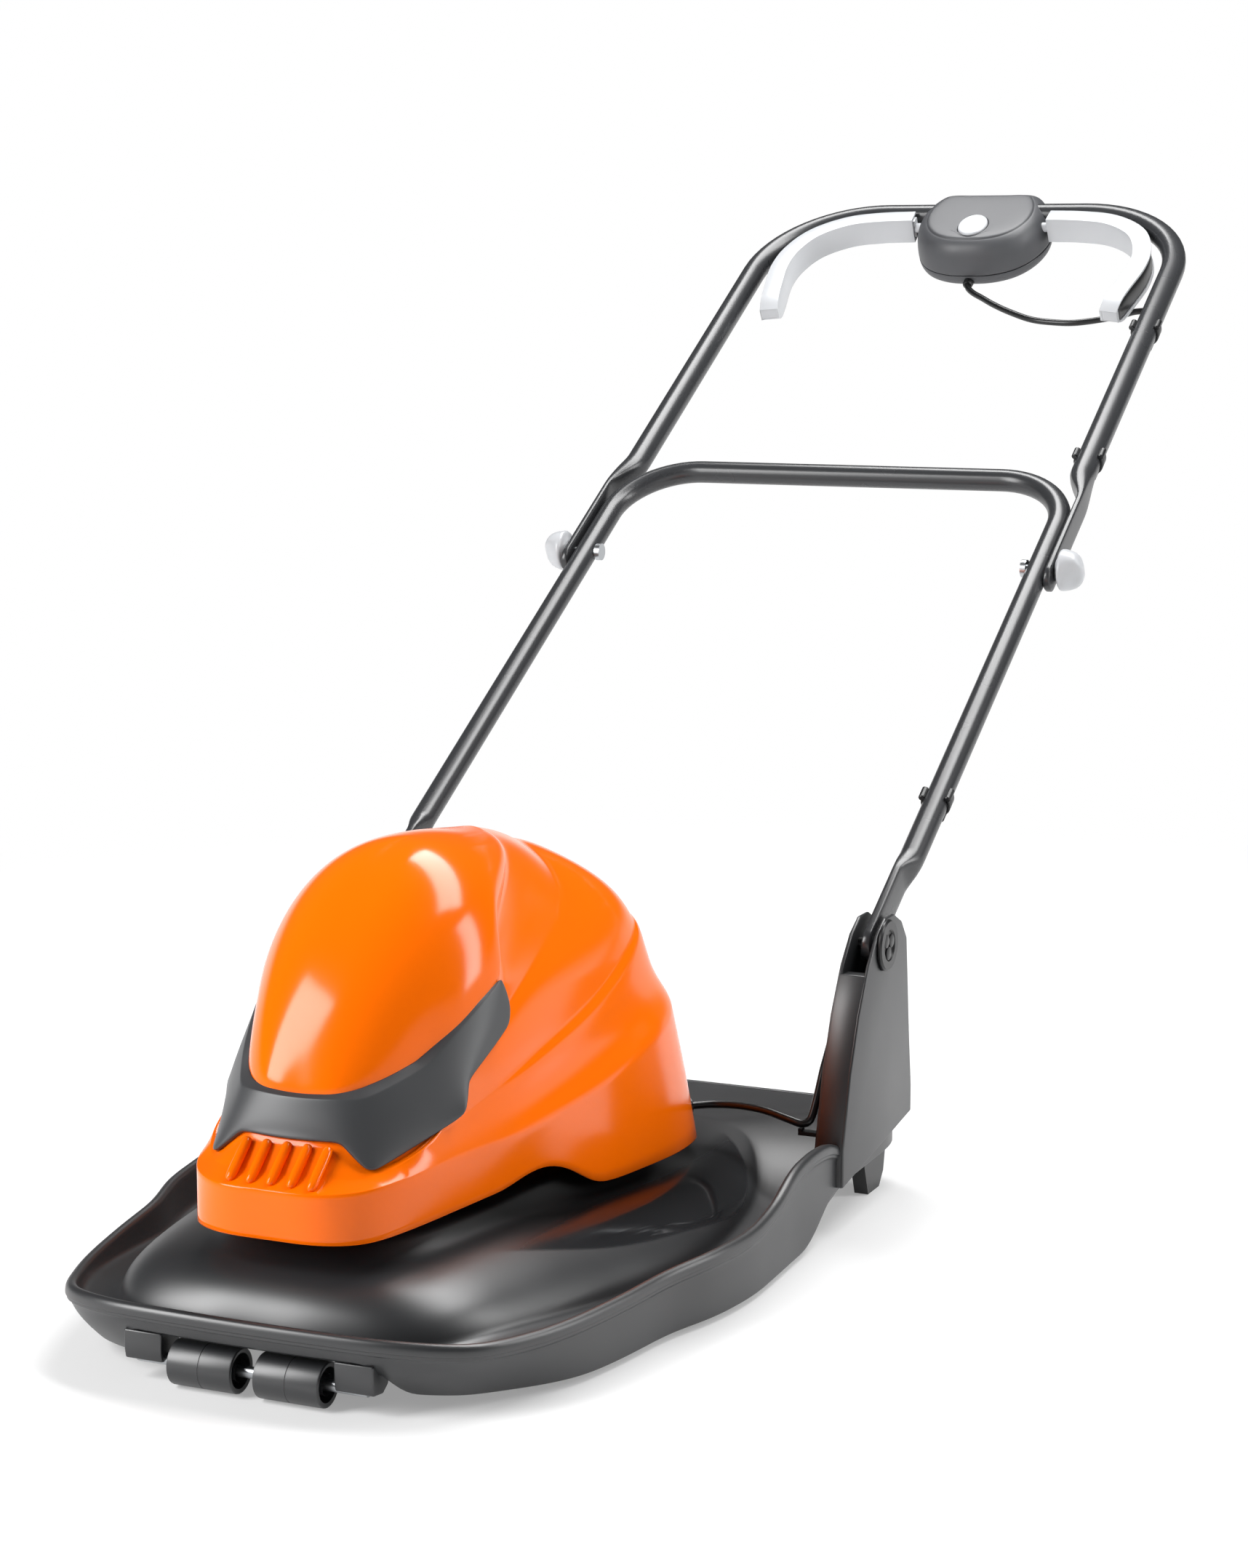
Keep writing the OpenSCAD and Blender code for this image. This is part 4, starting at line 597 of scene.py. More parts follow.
@dataclass
class Deck:
    """The moulded deck: skirt, rolled rim, gutter, dome and platform."""

    half_w: float = 234.0
    length: float = DECK_L
    rim_h: float = 56.0
    gutter_h: float = 38.0
    plinth_h: float = 92.0
    wall: float = 3.0
    lip: float = 9.0
    notch_hw: float = 104.0
    notch_h: float = 37.0
    notch_soft: float = 14.0
    spindle: float = 0.459
    middle: float = 0.42
    hem_low: float = 4.0
    hem_front: float = 5.0
    hem_rear: float = 28.0
    draw_in: float = 34.0
    hub_r: float = 34.0
    hub_rim: float = 56.0
    steps: int = 3
    rim: list = field(default_factory=list)
    foot: list = field(default_factory=list)
    brow: list = field(default_factory=list)

    def __post_init__(self) -> None:
        """Draws the three guide lines."""
        self.rim = half_curve(RIM, (self.half_w, self.length, self.rim_h), self.steps)
        self.foot = half_curve(FOOT, (self.half_w, self.length, self.gutter_h), self.steps)
        self.brow = half_curve(BROW, (self.half_w, self.length, self.plinth_h), self.steps)

    def inset(self, j: int, d: float) -> Vector:
        """Returns the rim's point j moved d millimetres inwards, at height 0."""
        a = self.rim[j - 1] if j else flip(self.rim[1])
        b = self.rim[j + 1] if j < len(self.rim) - 1 else flip(self.rim[j - 1])
        t = Vector((b.x - a.x, b.y - a.y, 0)).normalized()
        p = self.rim[j] + Vector((-t.y, t.x, 0)) * d
        return Vector((max(0.0, p.x), p.y, 0))

    def hem(self, p: Vector) -> float:
        """Returns the height of the skirt's lower edge below a point of the rim."""
        front = self.hem_front * (1 - ease(p.y / (self.length * 0.25)))
        low = self.hem_low + front + self.hem_rear * ease((p.y - self.length * 0.64) / (self.length * 0.1))
        if p.y < self.length * 0.2:
            return mix(self.notch_h, low, ease((abs(p.x) - self.notch_hw + 6) / self.notch_soft))
        return low

    def bowl(self, j: int, z: float) -> float:
        """Returns how far the skirt is drawn in at a height."""
        top = self.rim[j].z - 1.2 * self.lip
        u = min(1.0, max(0.0, (top - z) / (top - self.hem_low)))
        return self.wall + self.draw_in * u ** 1.5 * (1 - ease(self.rim[j].y / (self.length * 0.2)))

    def skirt(self, d: float, t: float, outer: bool) -> list[Vector]:
        """Returns a row of the skirt at share t of its height, d inside its outer face."""
        out = []
        for j, p in enumerate(self.rim):
            top = p.z - 1.2 * self.lip if outer else self.foot[j].z - self.wall
            z = mix(min(self.hem(p), top - 0.5), top, t)
            q = self.inset(j, self.bowl(j, z) + d)
            out.append(Vector((q.x, q.y, z)))
        return out

    def lip_row(self, d: float, s: float) -> list[Vector]:
        """Returns a row of the rolled rim, by shares of the lip's size."""
        return [Vector((*self.inset(j, d * self.lip).xy, p.z - s * self.lip)) for j, p in enumerate(self.rim)]

    def gutter(self, d: float, dz: float) -> list[Vector]:
        """Returns a row of the gutter's floor."""
        return [Vector((*self.inset(j, d).xy, self.foot[j].z + dz)) for j in range(len(self.rim))]

    def flank(self, t: float) -> list[Vector]:
        """Returns a row of the dome's flank."""
        return [arch(a, b, t, 0.94) for a, b in zip(self.foot, self.brow)]

    def flank_inside(self, t: float) -> list[Vector]:
        """Returns a row of the flank's inner face, set inwards at the foot and downwards at the shoulder."""
        out = []
        for j, p in enumerate(self.flank(t)):
            q = p + (self.inset(j, self.wall * (1 - t)) - self.inset(j, 0))
            out.append(Vector((max(0.0, q.x), q.y, p.z - self.wall * (1 + 0.6 * t))))
        return out

    def plinth(self, k: float, z: float) -> list[Vector]:
        """Returns the shoulder line drawn in by a share, at a height."""
        y0 = self.length * self.middle
        return [Vector((p.x * k, y0 + (p.y - y0) * k, z)) for p in self.brow]

    def hub(self, r: float, z: float) -> list[Vector]:
        """Returns a row round the spindle."""
        n = len(self.rim) - 1
        y = self.length * self.spindle
        return [Vector((r * math.sin(math.pi * j / n), y - r * math.cos(math.pi * j / n), z)) for j in range(n + 1)]

    def build(self) -> None:
        """Builds the deck as one closed skin."""
        top, wall = self.plinth_h, self.wall
        rows = [self.skirt(0, t, True) for t in (0, 0.06, 0.25, 0.5, 0.75, 0.96)]
        lip = len(rows)
        rows += [self.lip_row(1 / 9, 1.2), self.lip_row(1 / 9, 0.95)]
        rows += [self.lip_row(d, s) for d, s in ((0, 0.9), (0, 0.55), (0.12, 0.16), (0.5, 0), (0.9, 0.14), (1, 0.6))]
        rows += [self.gutter(self.lip + 1.6, 3), self.gutter(self.lip + 3.5, 0.2)]
        rows += [self.flank(k / 9) for k in range(10)]
        rows += [self.plinth(0.92, top - wall), self.plinth(0.9, top)]
        rows += [self.hub(self.hub_rim, top), self.hub(self.hub_r, top)]
        inner = [self.hub(self.hub_r, top - wall), self.hub(self.hub_rim, top - wall), self.plinth(0.87, top - wall)]
        inner += [self.flank_inside(k / 6) for k in range(6, -1, -1)]
        inner += [self.gutter(self.lip + 2, -wall)] + [self.skirt(wall, t, False) for t in (1, 0.67, 0.33, 0)]
        form = Form()
        form.loft([ring(r) for r in rows + inner], wrap=True, creases={
            lip: steady(0.6), lip + 1: steady(0.6), lip + 2: steady(0.5),
            len(rows) - 1: steady(0.9), len(rows): steady(0.9)})
        form.piece("deck_shell", "deck_plastic", "deck", ["deck_hood"], levels=2)


EDGE = [
    (0, 0, 0), (0.314, 0.004, 0), (0.545, 0.041, 0), (0.663, 0.129, 0.004), (0.754, 0.241, 0.01),
    (0.845, 0.373, 0.004), (0.967, 0.547, -0.083), (1, 0.72, -0.12), (1, 0.88, -0.141), (0.83, 0.985, -0.149),
    (0, 1, -0.149)]
BAND = [
    (0, -0.004, 0.145), (0.306, 0, 0.145), (0.535, 0.041, 0.149), (0.67, 0.112, 0.162), (0.765, 0.231, 0.17),
    (0.873, 0.37, 0.17), (0.925, 0.531, 0.178), (0.954, 0.659, 0.203), (0.94, 0.825, 0.249), (0.79, 0.955, 0.332),
    (0, 0.972, 0.357)]
LEDGE = [
    (0, 0.03, 0.176), (0.289, 0.034, 0.176), (0.5, 0.066, 0.17), (0.66, 0.141, 0.215), (0.719, 0.243, 0.274),
    (0.776, 0.355, 0.326), (0.79, 0.478, 0.374), (0.785, 0.639, 0.426), (0.746, 0.795, 0.528), (0.613, 0.9, 0.612),
    (0, 0.92, 0.656)]
BRIM = [
    (0, 0.063, 0.241), (0.281, 0.067, 0.237), (0.485, 0.08, 0.187), (0.645, 0.176, 0.228), (0.725, 0.247, 0.348),
    (0.697, 0.38, 0.516), (0.675, 0.484, 0.591), (0.591, 0.612, 0.654), (0.495, 0.69, 0.715), (0.3, 0.74, 0.8),
    (0, 0.75, 0.88)]
DOME = [
    (0, 0.088, 0.373), (0.248, 0.094, 0.378), (0.43, 0.139, 0.398), (0.562, 0.21, 0.448), (0.665, 0.272, 0.527),
    (0.722, 0.359, 0.614), (0.64, 0.388, 0.739), (0.545, 0.445, 0.826), (0.413, 0.535, 0.88), (0.25, 0.595, 0.925),
    (0, 0.625, 0.95)]


TRIM_LOW = [
    (0, 71, 160.5), (20, 72, 160.8), (33, 74, 161.2), (37.5, 74.6, 160), (41, 74.4, 157), (49.3, 73.8, 150.3),
    (54, 74, 146.6), (57.2, 74.6, 144.9), (59.8, 77, 144.5), (62.5, 82, 145.3), (74.7, 118.7, 155.1),
    (87, 140, 164.6), (90.4, 146.2, 168), (90.8, 149, 171.5), (89.6, 154, 178.3), (87.8, 158.5, 186),
    (87.9, 162, 189.5), (91, 185.2, 201.6), (92.3, 208, 212.5), (92.2, 214, 216.5), (90.6, 219, 226),
    (88.6, 217.5, 238), (87.6, 215, 245)]
TRIM_HIGH = [
    (0, 81.9, 189.6), (14, 82.5, 190), (24, 85, 191), (28, 86.5, 191.6), (31, 87.7, 192), (36, 90, 192.8),
    (39.5, 92.5, 193.8), (42, 95, 194.5), (44, 97.6, 195.4), (46, 100.5, 196.3), (54, 112, 200), (61, 127, 204.8),
    (63.1, 131.4, 206.1), (64.5, 135, 208), (66.5, 140, 210.5), (69, 147, 214.5), (70.5, 150.5, 216.6),
    (76, 164, 224.5), (80.5, 182, 235), (81.8, 187, 237.6), (84.2, 199, 242.5), (86.2, 209, 246.6), (87, 213.2, 248)]


# The cover's rows that carry an edge, counted from its lower edge
BAND_ROW, LEDGE_ROW, BRIM_ROW, SCOOP_ROW, DOME_ROW = 2, 7, 11, 14, 15


@dataclass
class Cover:
    """The motor cover with its ribs, and the trim on its front."""

    half_w: float = 121.0
    length: float = 490.0
    height: float = 241.0
    front: float = DECK_L * 0.0565
    base: float = 100.0
    wall: float = 3.0
    arch_y: float = 0.408
    arch_z: float = -0.27
    arch_r: float = 0.311
    rib_d: float = 7.4
    rib_pitch: float = 15.4
    steps: int = 3
    apex: Vector = field(default_factory=Vector)
    rows: list = field(default_factory=list)

    def guide(self, table: Row) -> list[Vector]:
        """Draws one guide line of the cover."""
        return half_curve(table, (self.half_w, self.length, self.height), self.steps, (0, self.front, self.base))

    def fullness(self, share: float) -> float:
        """Returns how full the dome is at a share of the way from its front to its rear."""
        return 1.5 + 0.72 * math.sin(math.pi * share) + 0.7 * ease((share - 0.62) / 0.38)

    def __post_init__(self) -> None:
        """Draws the rows from the lower edge to the top."""
        edge, band, ledge, brim, dome = (self.guide(t) for t in (EDGE, BAND, LEDGE, BRIM, DOME))
        side = [ease((j / (len(edge) - 1) - 0.45) / 0.15) for j in range(len(edge))]
        band, ledge, brim, dome = (relax(g, side, 3) for g in (band, ledge, brim, dome))
        self.apex = Vector((0, self.front + 0.43 * self.length, self.base + self.height - 4))
        y, z = self.front + self.arch_y * self.length, self.base + self.arch_z * self.height
        r = self.arch_r * self.height
        edge = [Vector((p.x, p.y, max(p.z, z + math.sqrt(max(0.0, r * r - (p.y - y) ** 2))))) for p in edge]
        n = len(edge) - 1

        shell = []
        for t, soft in ((0.04, 0), (0.16, 6), (0.3, 14), (0.45, 24), (0.6, 30), (0.74, 30), (0.86, 20), (0.95, 10)):
            row = [crown(p, self.apex, t, self.fullness(j / n)) for j, p in enumerate(dome)]
            full = [flip(p) for p in reversed(row)] + row[1:] + [flip(p) for p in reversed(row[:-1])]
            shell.append(relax(full, [1.0] * len(full), soft)[n:2 * n + 1])
        top = [ease((j / n - 0.74) / 0.2) for j in range(n + 1)]
        scoop = []
        for t, depth in ((0.33, 2.0), (0.67, 6.0), (0.96, 8.0)):
            row = [arch(p, q, t, mix(-0.25, 0.25, up)) for p, q, up in zip(brim, dome, top)]
            scoop.append([p + self.inside(p) * depth * w * (1 - up) for p, w, up in zip(row, side, top)])
        swell = [0.7 * ease((j / n - 0.1) / 0.3) for j in range(n + 1)]
        slope = [[arch(p, q, t, k) for p, q, k in zip(ledge, brim, swell)] for t in (0.25, 0.5, 0.75)]
        cove = []
        for t, out in ((0.1, 1.6), (0.4, -3.0), (0.74, 0.6), (0.94, 2.6)):
            row = [arch(p, q, t, -0.3 * (1 - w)) for p, q, w in zip(band, ledge, side)]
            cove.append([p - self.inside(p) * out * w for p, w in zip(row, side)])
        wall = [[arch(p, q, 0.5, 0.1) for p, q in zip(edge, band)]]
        self.rows = [edge] + wall + [band] + cove + [ledge] + slope + [brim] + scoop + [dome] + shell

    def inside(self, p: Vector) -> Vector:
        """Returns the direction from a point of the cover towards its inside."""
        c = Vector((0, min(max(p.y, self.front + 0.2 * self.length), self.front + 0.75 * self.length),
                    min(p.z, self.base + 0.2 * self.height)))
        return (c - p).normalized()

    def inner(self, row: Sequence[Vector]) -> list[Vector]:
        """Returns a row of the cover's inner face."""
        pts = [p + self.inside(p) * self.wall for p in row]
        return [Vector((max(0.0, p.x), p.y, p.z)) for p in pts]

    def build(self) -> None:
        """Builds the cover, its ribs and its trim."""
        form = Form()
        tiny = [[Vector((p.x * 0.02, self.apex.y + (p.y - self.apex.y) * 0.02, self.apex.z - dz))
                 for p in self.rows[-1]] for dz in (self.wall, 0)]
        rows = [tiny[0]] + [self.inner(r) for r in reversed(self.rows)] + self.rows + [tiny[1]]
        first = len(self.rows) + 1
        form.loft([ring(r) for r in rows], creases={
            first - 1: steady(0.7), first: steady(0.75),
            first + BAND_ROW: ramp((0, 0.6), (0.25, 0.6), (0.38, 0.2), (0.5, 0.4), (0.62, 0.9), (0.85, 0.9), (1, 0.5)),
            first + LEDGE_ROW: ramp((0, 0.1), (0.2, 0.1), (0.35, 0.8), (0.8, 0.95), (1, 0.5)),
            first + BRIM_ROW: ramp((0, 0.3), (0.45, 0.4), (0.52, 0.9), (0.9, 0.9), (1, 0.4)),
            first + SCOOP_ROW: ramp((0, 0), (0.5, 0.3), (0.8, 0.6), (0.92, 0), (1, 0)),
            first + DOME_ROW: ramp((0, 0.7), (0.5, 0.9), (0.86, 0.9), (0.95, 0.4), (1, 0))})
        form.piece("cover_shell", "cover_plastic", "deck", ["motor_cover"], levels=2)
        self.build_ribs()
        self.build_trim()

    def build_ribs(self) -> None:
        """Builds the row of round ribs on the front ledge."""
        foot = self.rows[BAND_ROW][0].lerp(self.rows[LEDGE_ROW][0], 0.45) + Vector((0, 0, 0.5))
        head = self.rows[BRIM_ROW][0] + Vector((0, -1, 1))
        stations = ((-0.12, 0.25), (-0.1, 0.6), (-0.04, 0.9), (0.1, 1), (0.5, 1), (0.9, 1), (1, 0.8))
        form = Form()
        for k in range(5):
            x = (k - 2) * self.rib_pitch + 1
            path = [Vector((x, mix(foot.y, head.y, t), mix(foot.z, head.z, t))) for t, _ in stations]
            form.sweep(path, lambda i: disc(stations[i][1] * self.rib_d / 2, 16), X_AXIS)
        form.piece("cover_ribs", "cover_plastic", "deck", levels=1)

    def build_trim(self) -> None:
        """Builds the trim from its lower and its upper edge, with a bevel along both."""
        section = [(0, -1.5), (0, 2.4), (0.004, 3.1), (0.03, 3.7), (0.1, 4.4), (0.3, 6.2), (0.6, 6.2), (0.84, 4.9),
                   (0.865, 4.6), (0.885, 4.0), (0.985, 1.3), (1, 0.9), (1, -1.5), (0.5, -1.5)]
        half = []
        for low, high in zip(TRIM_LOW, TRIM_HIGH):
            a, b = Vector(low), Vector(high)
            thin = min(1.0, 0.35 + (b - a).length / 40)
            out = -self.inside(a.lerp(b, 0.5))
            half.append([a.lerp(b, t) + out * (lift * thin if lift > 0 else lift) for t, lift in section])
        full = [[flip(p) for p in row] for row in reversed(half[1:])] + half
        lines = []
        for k, (t, lift) in enumerate(section):
            soft = 10 if 0.2 < t < 0.8 and lift > 0 else 3 if 0.05 < t < 0.9 and lift > 0 else 0
            lines.append(relax([row[k] for row in full], [1.0] * len(full), soft))
        form = Form()
        form.loft([list(row) for row in zip(*lines)])
        form.piece("trim_skin", "trim_plastic", "deck", ["front_trim"], levels=2)


BRACKET = [
    (0, 0), (0.094, 0.339), (0.206, 0.6), (0.3375, 0.812), (0.4625, 0.939), (0.575, 1), (0.7, 1), (0.819, 0.945),
    (0.9, 0.85), (0.9625, 0.339), (1, 0.09)]


@dataclass
class Bracket:
    """One hollow handle bracket with its pivot pin."""

    side: Side
    inner_x: float = 208.0
    width: float = 24.0
    wall: float = 3.0
    front: float = 514.0
    base: float = 64.0
    seat: float = 34.0
    seat_rear: float = 56.9
    length: float = 160.0
    height: float = 165.0
    ledge: float = 16.0
    pin_r: float = 20.5
    pin_t: float = 4.0

    def outline(self) -> list[tuple[float, float]]:
        """Returns the side outline, from the seat's front round to its rear."""
        pts = [(self.front + a * self.length, self.base + b * self.height) for a, b in BRACKET]
        return [(self.front, self.seat)] + pts + [(self.front + self.length, self.seat_rear)]

    def build(self) -> None:
        """Builds the bracket and the pivot's head."""
        name = self.side.name.lower()
        out = self.outline()
        form = Form(mirrored(on_deck, self.side))
        x0, x1 = self.inner_x, self.inner_x + self.width
        for x in (x0, x1 - self.wall):
            form.prism([(x, y, z) for y, z in out], (self.wall, 0, 0), 1.3, 3)
        front = out[:4] + [(self.front + 0.31 * self.length, self.base + 0.77 * self.height)]
        walls = [front + [(y + self.wall, z) for y, z in reversed(front)]]
        rear = out[9:13]
        walls.append(rear + [(y - self.wall, z) for y, z in reversed(rear)])
        y, z = front[-1]
        walls.append([(y, z), (y + self.ledge, z - 1), (y + self.ledge, z - 4), (y, z - 3)])
        for w in walls:
            form.prism([(x0 + 1.2, y, z) for y, z in w], (self.width - 2.4, 0, 0), 0.8)
        form.piece(f"bracket_shell_{name}", "deck_plastic", "deck", [f"bracket_{name}"])
        pin = Form(mirrored(on_deck, self.side))
        r, t = self.pin_r, self.pin_t
        pin.lathe([(0, -26), (5, -26), (5, 0.3), (r - 1, 0.3), (r, 1.2), (r, 2.6), (r - 1.4, t), (r * 0.62, t),
                   (r * 0.55, t * 0.6), (0, t * 0.6)], (x1, PIVOT_Y, PIVOT_Z), 0)
        for k in range(3):
            a = math.tau * k / 3 + 0.4
            cy, cz = PIVOT_Y + r * 0.32 * math.cos(a), PIVOT_Z + r * 0.32 * math.sin(a)
            pin.lathe([(0, t * 0.5), (r * 0.26, t * 0.5), (r * 0.26, t * 0.85), (r * 0.2, t), (0, t)],
                      (x1, cy, cz), 0, 24)
        pin.piece(f"pivot_head_{name}", "black_plastic", "deck", [f"pivot_pin_{name}"])


@dataclass
class Tube:
    """One bent tube hoop with flattened ends."""

    name: str
    node: str
    body: str
    leg_x: float
    diameter: float
    reach: float
    bend: float
    flat_x: float
    flat_t: float
    flat_h: float
    tip: float
    flat_end: float
    round_from: float

    def half(self) -> list[tuple[Vector, float, float, float]]:
        """Returns stations from a leg's tip to the middle: point, half width, half height and squareness."""
        r, out = self.diameter / 2, []
        c = self.tip + self.flat_h / 2
        for k in range(7):
            a = math.pi / 2 * k / 6
            t = c - self.flat_h / 2 * math.cos(a)
            out.append((Vector((self.flat_x, t, 0)), self.flat_t / 2, max(0.6, self.flat_h / 2 * math.sin(a)), 5.0))
        out.append((Vector((self.flat_x, self.flat_end, 0)), self.flat_t / 2, self.flat_h / 2, 5.0))
        for k in range(1, 9):
            u = ease(k / 8)
            t = mix(self.flat_end, self.round_from, k / 8)
            p = Vector((mix(self.flat_x, self.leg_x, u), t, 0))
            out.append((p, mix(self.flat_t / 2, r, u), mix(self.flat_h / 2, r, u), mix(5, 2, u)))
        straight = self.reach - self.bend
        for k in range(1, 9):
            out.append((Vector((self.leg_x, mix(self.round_from, straight, k / 8), 0)), r, r, 2.0))
        for k in range(1, 17):
            a = math.pi / 2 * k / 16
            p = Vector((self.leg_x - self.bend + self.bend * math.cos(a), straight + self.bend * math.sin(a), 0))
            out.append((p, r, r, 2.0))
        out.append((Vector((0, self.reach, 0)), r, r, 2.0))
        return out

    def build(self) -> None:
        """Sweeps the hoop from tip to tip."""
        half = self.half()
        stations = half + [(flip(p), a, b, e) for p, a, b, e in reversed(half[:-1])]

        def section(i: int) -> list[tuple[float, float]]:
            """Returns the section at a station: round, or flat with round corners."""
            _, a, b, e = stations[i]
            out = []
            for k in range(32):
                c, s = math.cos(math.tau * k / 32), math.sin(math.tau * k / 32)
                out.append((a * math.copysign(abs(c) ** (2 / e), c), b * math.copysign(abs(s) ** (2 / e), s)))
            return out

        form = Form(on_handle)
        form.sweep([s[0] for s in stations], section)
        form.piece(self.name, "tube_steel", self.body, [self.node], sharp=50)


@dataclass
class Knob:
    """A domed clamp knob with two finger scoops."""

    side: Side
    x: float = 240.1
    along: float = 503.0
    radius: float = 19.0
    height: float = 25.0

    def build(self) -> None:
        """Builds the knob from rings that the scoops draw in."""
        name = self.side.name.lower()
        shape = [(0.3, 0), (0.6, 0), (0.64, 0.1), (0.94, 0.14), (1, 0.2), (1, 0.32), (0.97, 0.5), (0.88, 0.72),
                 (0.7, 0.88), (0.42, 0.97), (0.1, 1)]
        rows = []
        for s, h in shape:
            row = []
            for k in range(48):
                a = math.tau * k / 48
                dent = max(0.0, abs(math.cos(a)) - 0.45) / 0.55 * ease((h - 0.3) / 0.5)
                r = self.radius * s * (1 - 0.42 * dent)
                row.append(Vector((self.x + h * self.height, self.along + r * math.cos(a), r * math.sin(a))))
            rows.append(row)
        form = Form(mirrored(on_handle, self.side))
        form.loft(rows)
        form.piece(f"knob_dome_{name}", "light_plastic", f"clamp_{name}", [f"knob_{name}"], levels=1)


@dataclass
class LeadClips:
    """Open clips that hold the lead behind the right legs."""

    wall: float = 2.2
    width: float = 13.0
    start: float = -208.0
    end: float = 28.0
    bead_r: float = 3.0

    def clip(self, form: Form, d: float, x: float, along: float, drop: float) -> None:
        """Adds one clip to a form.

        Args:
            form: the form that gets the clip.
            d: diameter of the tube.
            x: place of the leg.
            along: place along the leg.
            drop: height of the lead's centre over the handle's plane, below zero.
        """
        r, w, y = d / 2, self.width, along - self.width / 2
        inner, outer = [], []
        for k in range(21):
            a = math.radians(mix(self.start, self.end, k / 20))
            inner.append((x + (r + 0.05) * math.cos(a), y, (r + 0.05) * math.sin(a)))
            outer.append((x + (r + self.wall) * math.cos(a), y, (r + self.wall) * math.sin(a)))
        form.prism(inner + outer[::-1], (0, w, 0), 0.5, 2)
        b, m = self.bead_r, r + 2.0
        for a in (math.radians(self.start), math.radians(self.end)):
            form.lathe([(0, 0), (b - 0.8, 0), (b, 0.8), (b, w - 0.8), (b - 0.8, w), (0, w)],
                       (x + m * math.cos(a), y, m * math.sin(a)), 1, 20)
        e = LEAD_D / 2
        form.lathe([(e + 0.1, 0), (e + 2, 0), (e + 2.3, 0.5), (e + 2.3, w - 0.5), (e + 2, w), (e + 0.1, w),
                    (e + 0.1, 0)], (x, y, drop), 1, 28)

    def build(self) -> None:
        """Builds the clip of the lower leg and the two of the upper leg."""
        low = Form(on_handle)
        self.clip(low, LOWER_D, LOWER_X, 178.0, -14.0)
        low.piece("lead_clip_lower", "black_plastic", "lower_frame", ["lower_clip"])
        high = Form(on_handle)
        for y in (678.0, 903.0):
            self.clip(high, UPPER_D, UPPER_X, y, -15.8)
        high.piece("lead_clips_upper", "black_plastic", "upper_frame", ["upper_clips"])


BOX = [
    (0, 0), (0.36, 0.022), (0.68, 0.12), (0.9, 0.3), (1, 0.53), (0.97, 0.75), (0.86, 0.92), (0.72, 1), (0.36, 1),
    (0, 1)]


@dataclass
class SwitchBox:
    """The switch box on the grip bar with its lock button."""

    width: float = 142.0
    length: float = 120.0
    up: float = 16.0
    part: float = -22.0
    button_w: float = 31.0
    button_l: float = 40.0
    steps: int = 3

    def outline(self, d: float, n: float) -> list[Vector]:
        """Returns the box's outline, drawn in by d, at height n over the handle's plane."""
        half = half_curve([(a, b, 0) for a, b in BOX], (self.width / 2, self.length, 0), self.steps)
        mid = BOX_REAR - self.length / 2
        wide, long = 1 - 2 * d / self.width, 1 - 2 * d / self.length
        return ring([Vector((p.x * wide, mid + (p.y - self.length / 2) * long, n)) for p in half])

    def oval(self, d: float, n: float) -> list[Vector]:
        """Returns the button's outline, grown by d, with as many points as the box's outline."""
        count = len(self.outline(0, 0))
        w, h = self.button_w / 2 + d, self.button_l / 2 + d
        turn = [-math.pi / 2 + math.tau * k / count for k in range(count)]
        return [Vector((w * math.cos(a), BUTTON_Y + h * math.sin(a), n)) for a in turn]

    def build(self) -> None:
        """Builds both halves of the box and the button."""
        half_w, rise = self.width / 2, self.up - self.part
        shares = [(0.03, 0), (0.004, 0.004), (0, 0.03), (0.004, 0.3), (0.025, 0.54), (0.07, 0.74), (0.13, 0.87),
                  (0.19, 0.93), (0.2, 0.925), (0.215, 0.96), (0.235, 0.99), (0.42, 1)]
        rows = [self.outline(s * half_w, self.part + 0.3 + h * (rise - 0.3)) for s, h in shares]
        rows += [self.oval(d, self.up - n) for d, n in ((2.2, 0), (0.8, 0), (0.5, 0.8), (0.5, 5))]
        top = Form(on_handle)
        top.loft(rows)
        top.piece("box_lid", "box_plastic", "upper_frame", ["box_top"], levels=2)
        drop = BOX_DOWN + self.part
        shares = [(0.3, 1), (0.16, 1), (0.06, 0.88), (0.012, 0.5), (0, 0.05), (0.006, 0.01), (0.03, 0)]
        base = Form(on_handle)
        base.loft([self.outline(s * half_w, self.part - 0.3 - h * (drop - 0.3)) for s, h in shares])
        base.piece("box_tray", "box_plastic", "upper_frame", ["box_base"], levels=2)
        button = Form(on_handle)
        rows = [(0, -6), (0, 0.6), (-0.3, 1.4), (-1.2, 2.2), (-3, 2.7), (-4.2, 2.3), (-8, 2.2)]
        button.loft([self.oval(d, self.up + n) for d, n in rows])
        button.piece("button_cap", "light_plastic", "safety_button", ["lock_button"], levels=1)


@dataclass
class ButtonSpring:
    """The button's return spring, wound here at one length, though the real one shortens as the button goes down."""

    radius: float = 5.5
    wire_r: float = 0.6
    low: float = -7.8
    high: float = 8.8
    turns: int = 7
    steps: int = 16
    travel: float = 4.0
    spare: float = 0.8

    def build(self) -> None:
        """Winds the coil."""
        r, count, path = self.radius, self.turns * self.steps, []
        for k in range(count + 1):
            a = math.tau * k / self.steps
            path.append(Vector((r * math.cos(a), BUTTON_Y + r * math.sin(a), mix(self.low, self.high, k / count))))
        form = Form(on_handle)
        form.sweep(path, lambda i: disc(self.wire_r, 8))
        coil = form.piece("button_coil", "bare_steel", "upper_frame", ["button_spring"])
        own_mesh(coil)


BAIL = [
    (0.019, -0.017), (0.252, 0), (0.477, 0.068), (0.671, 0.263), (0.768, 0.542), (0.787, 0.839), (0.748, 1.178),
    (0.71, 1.483)]


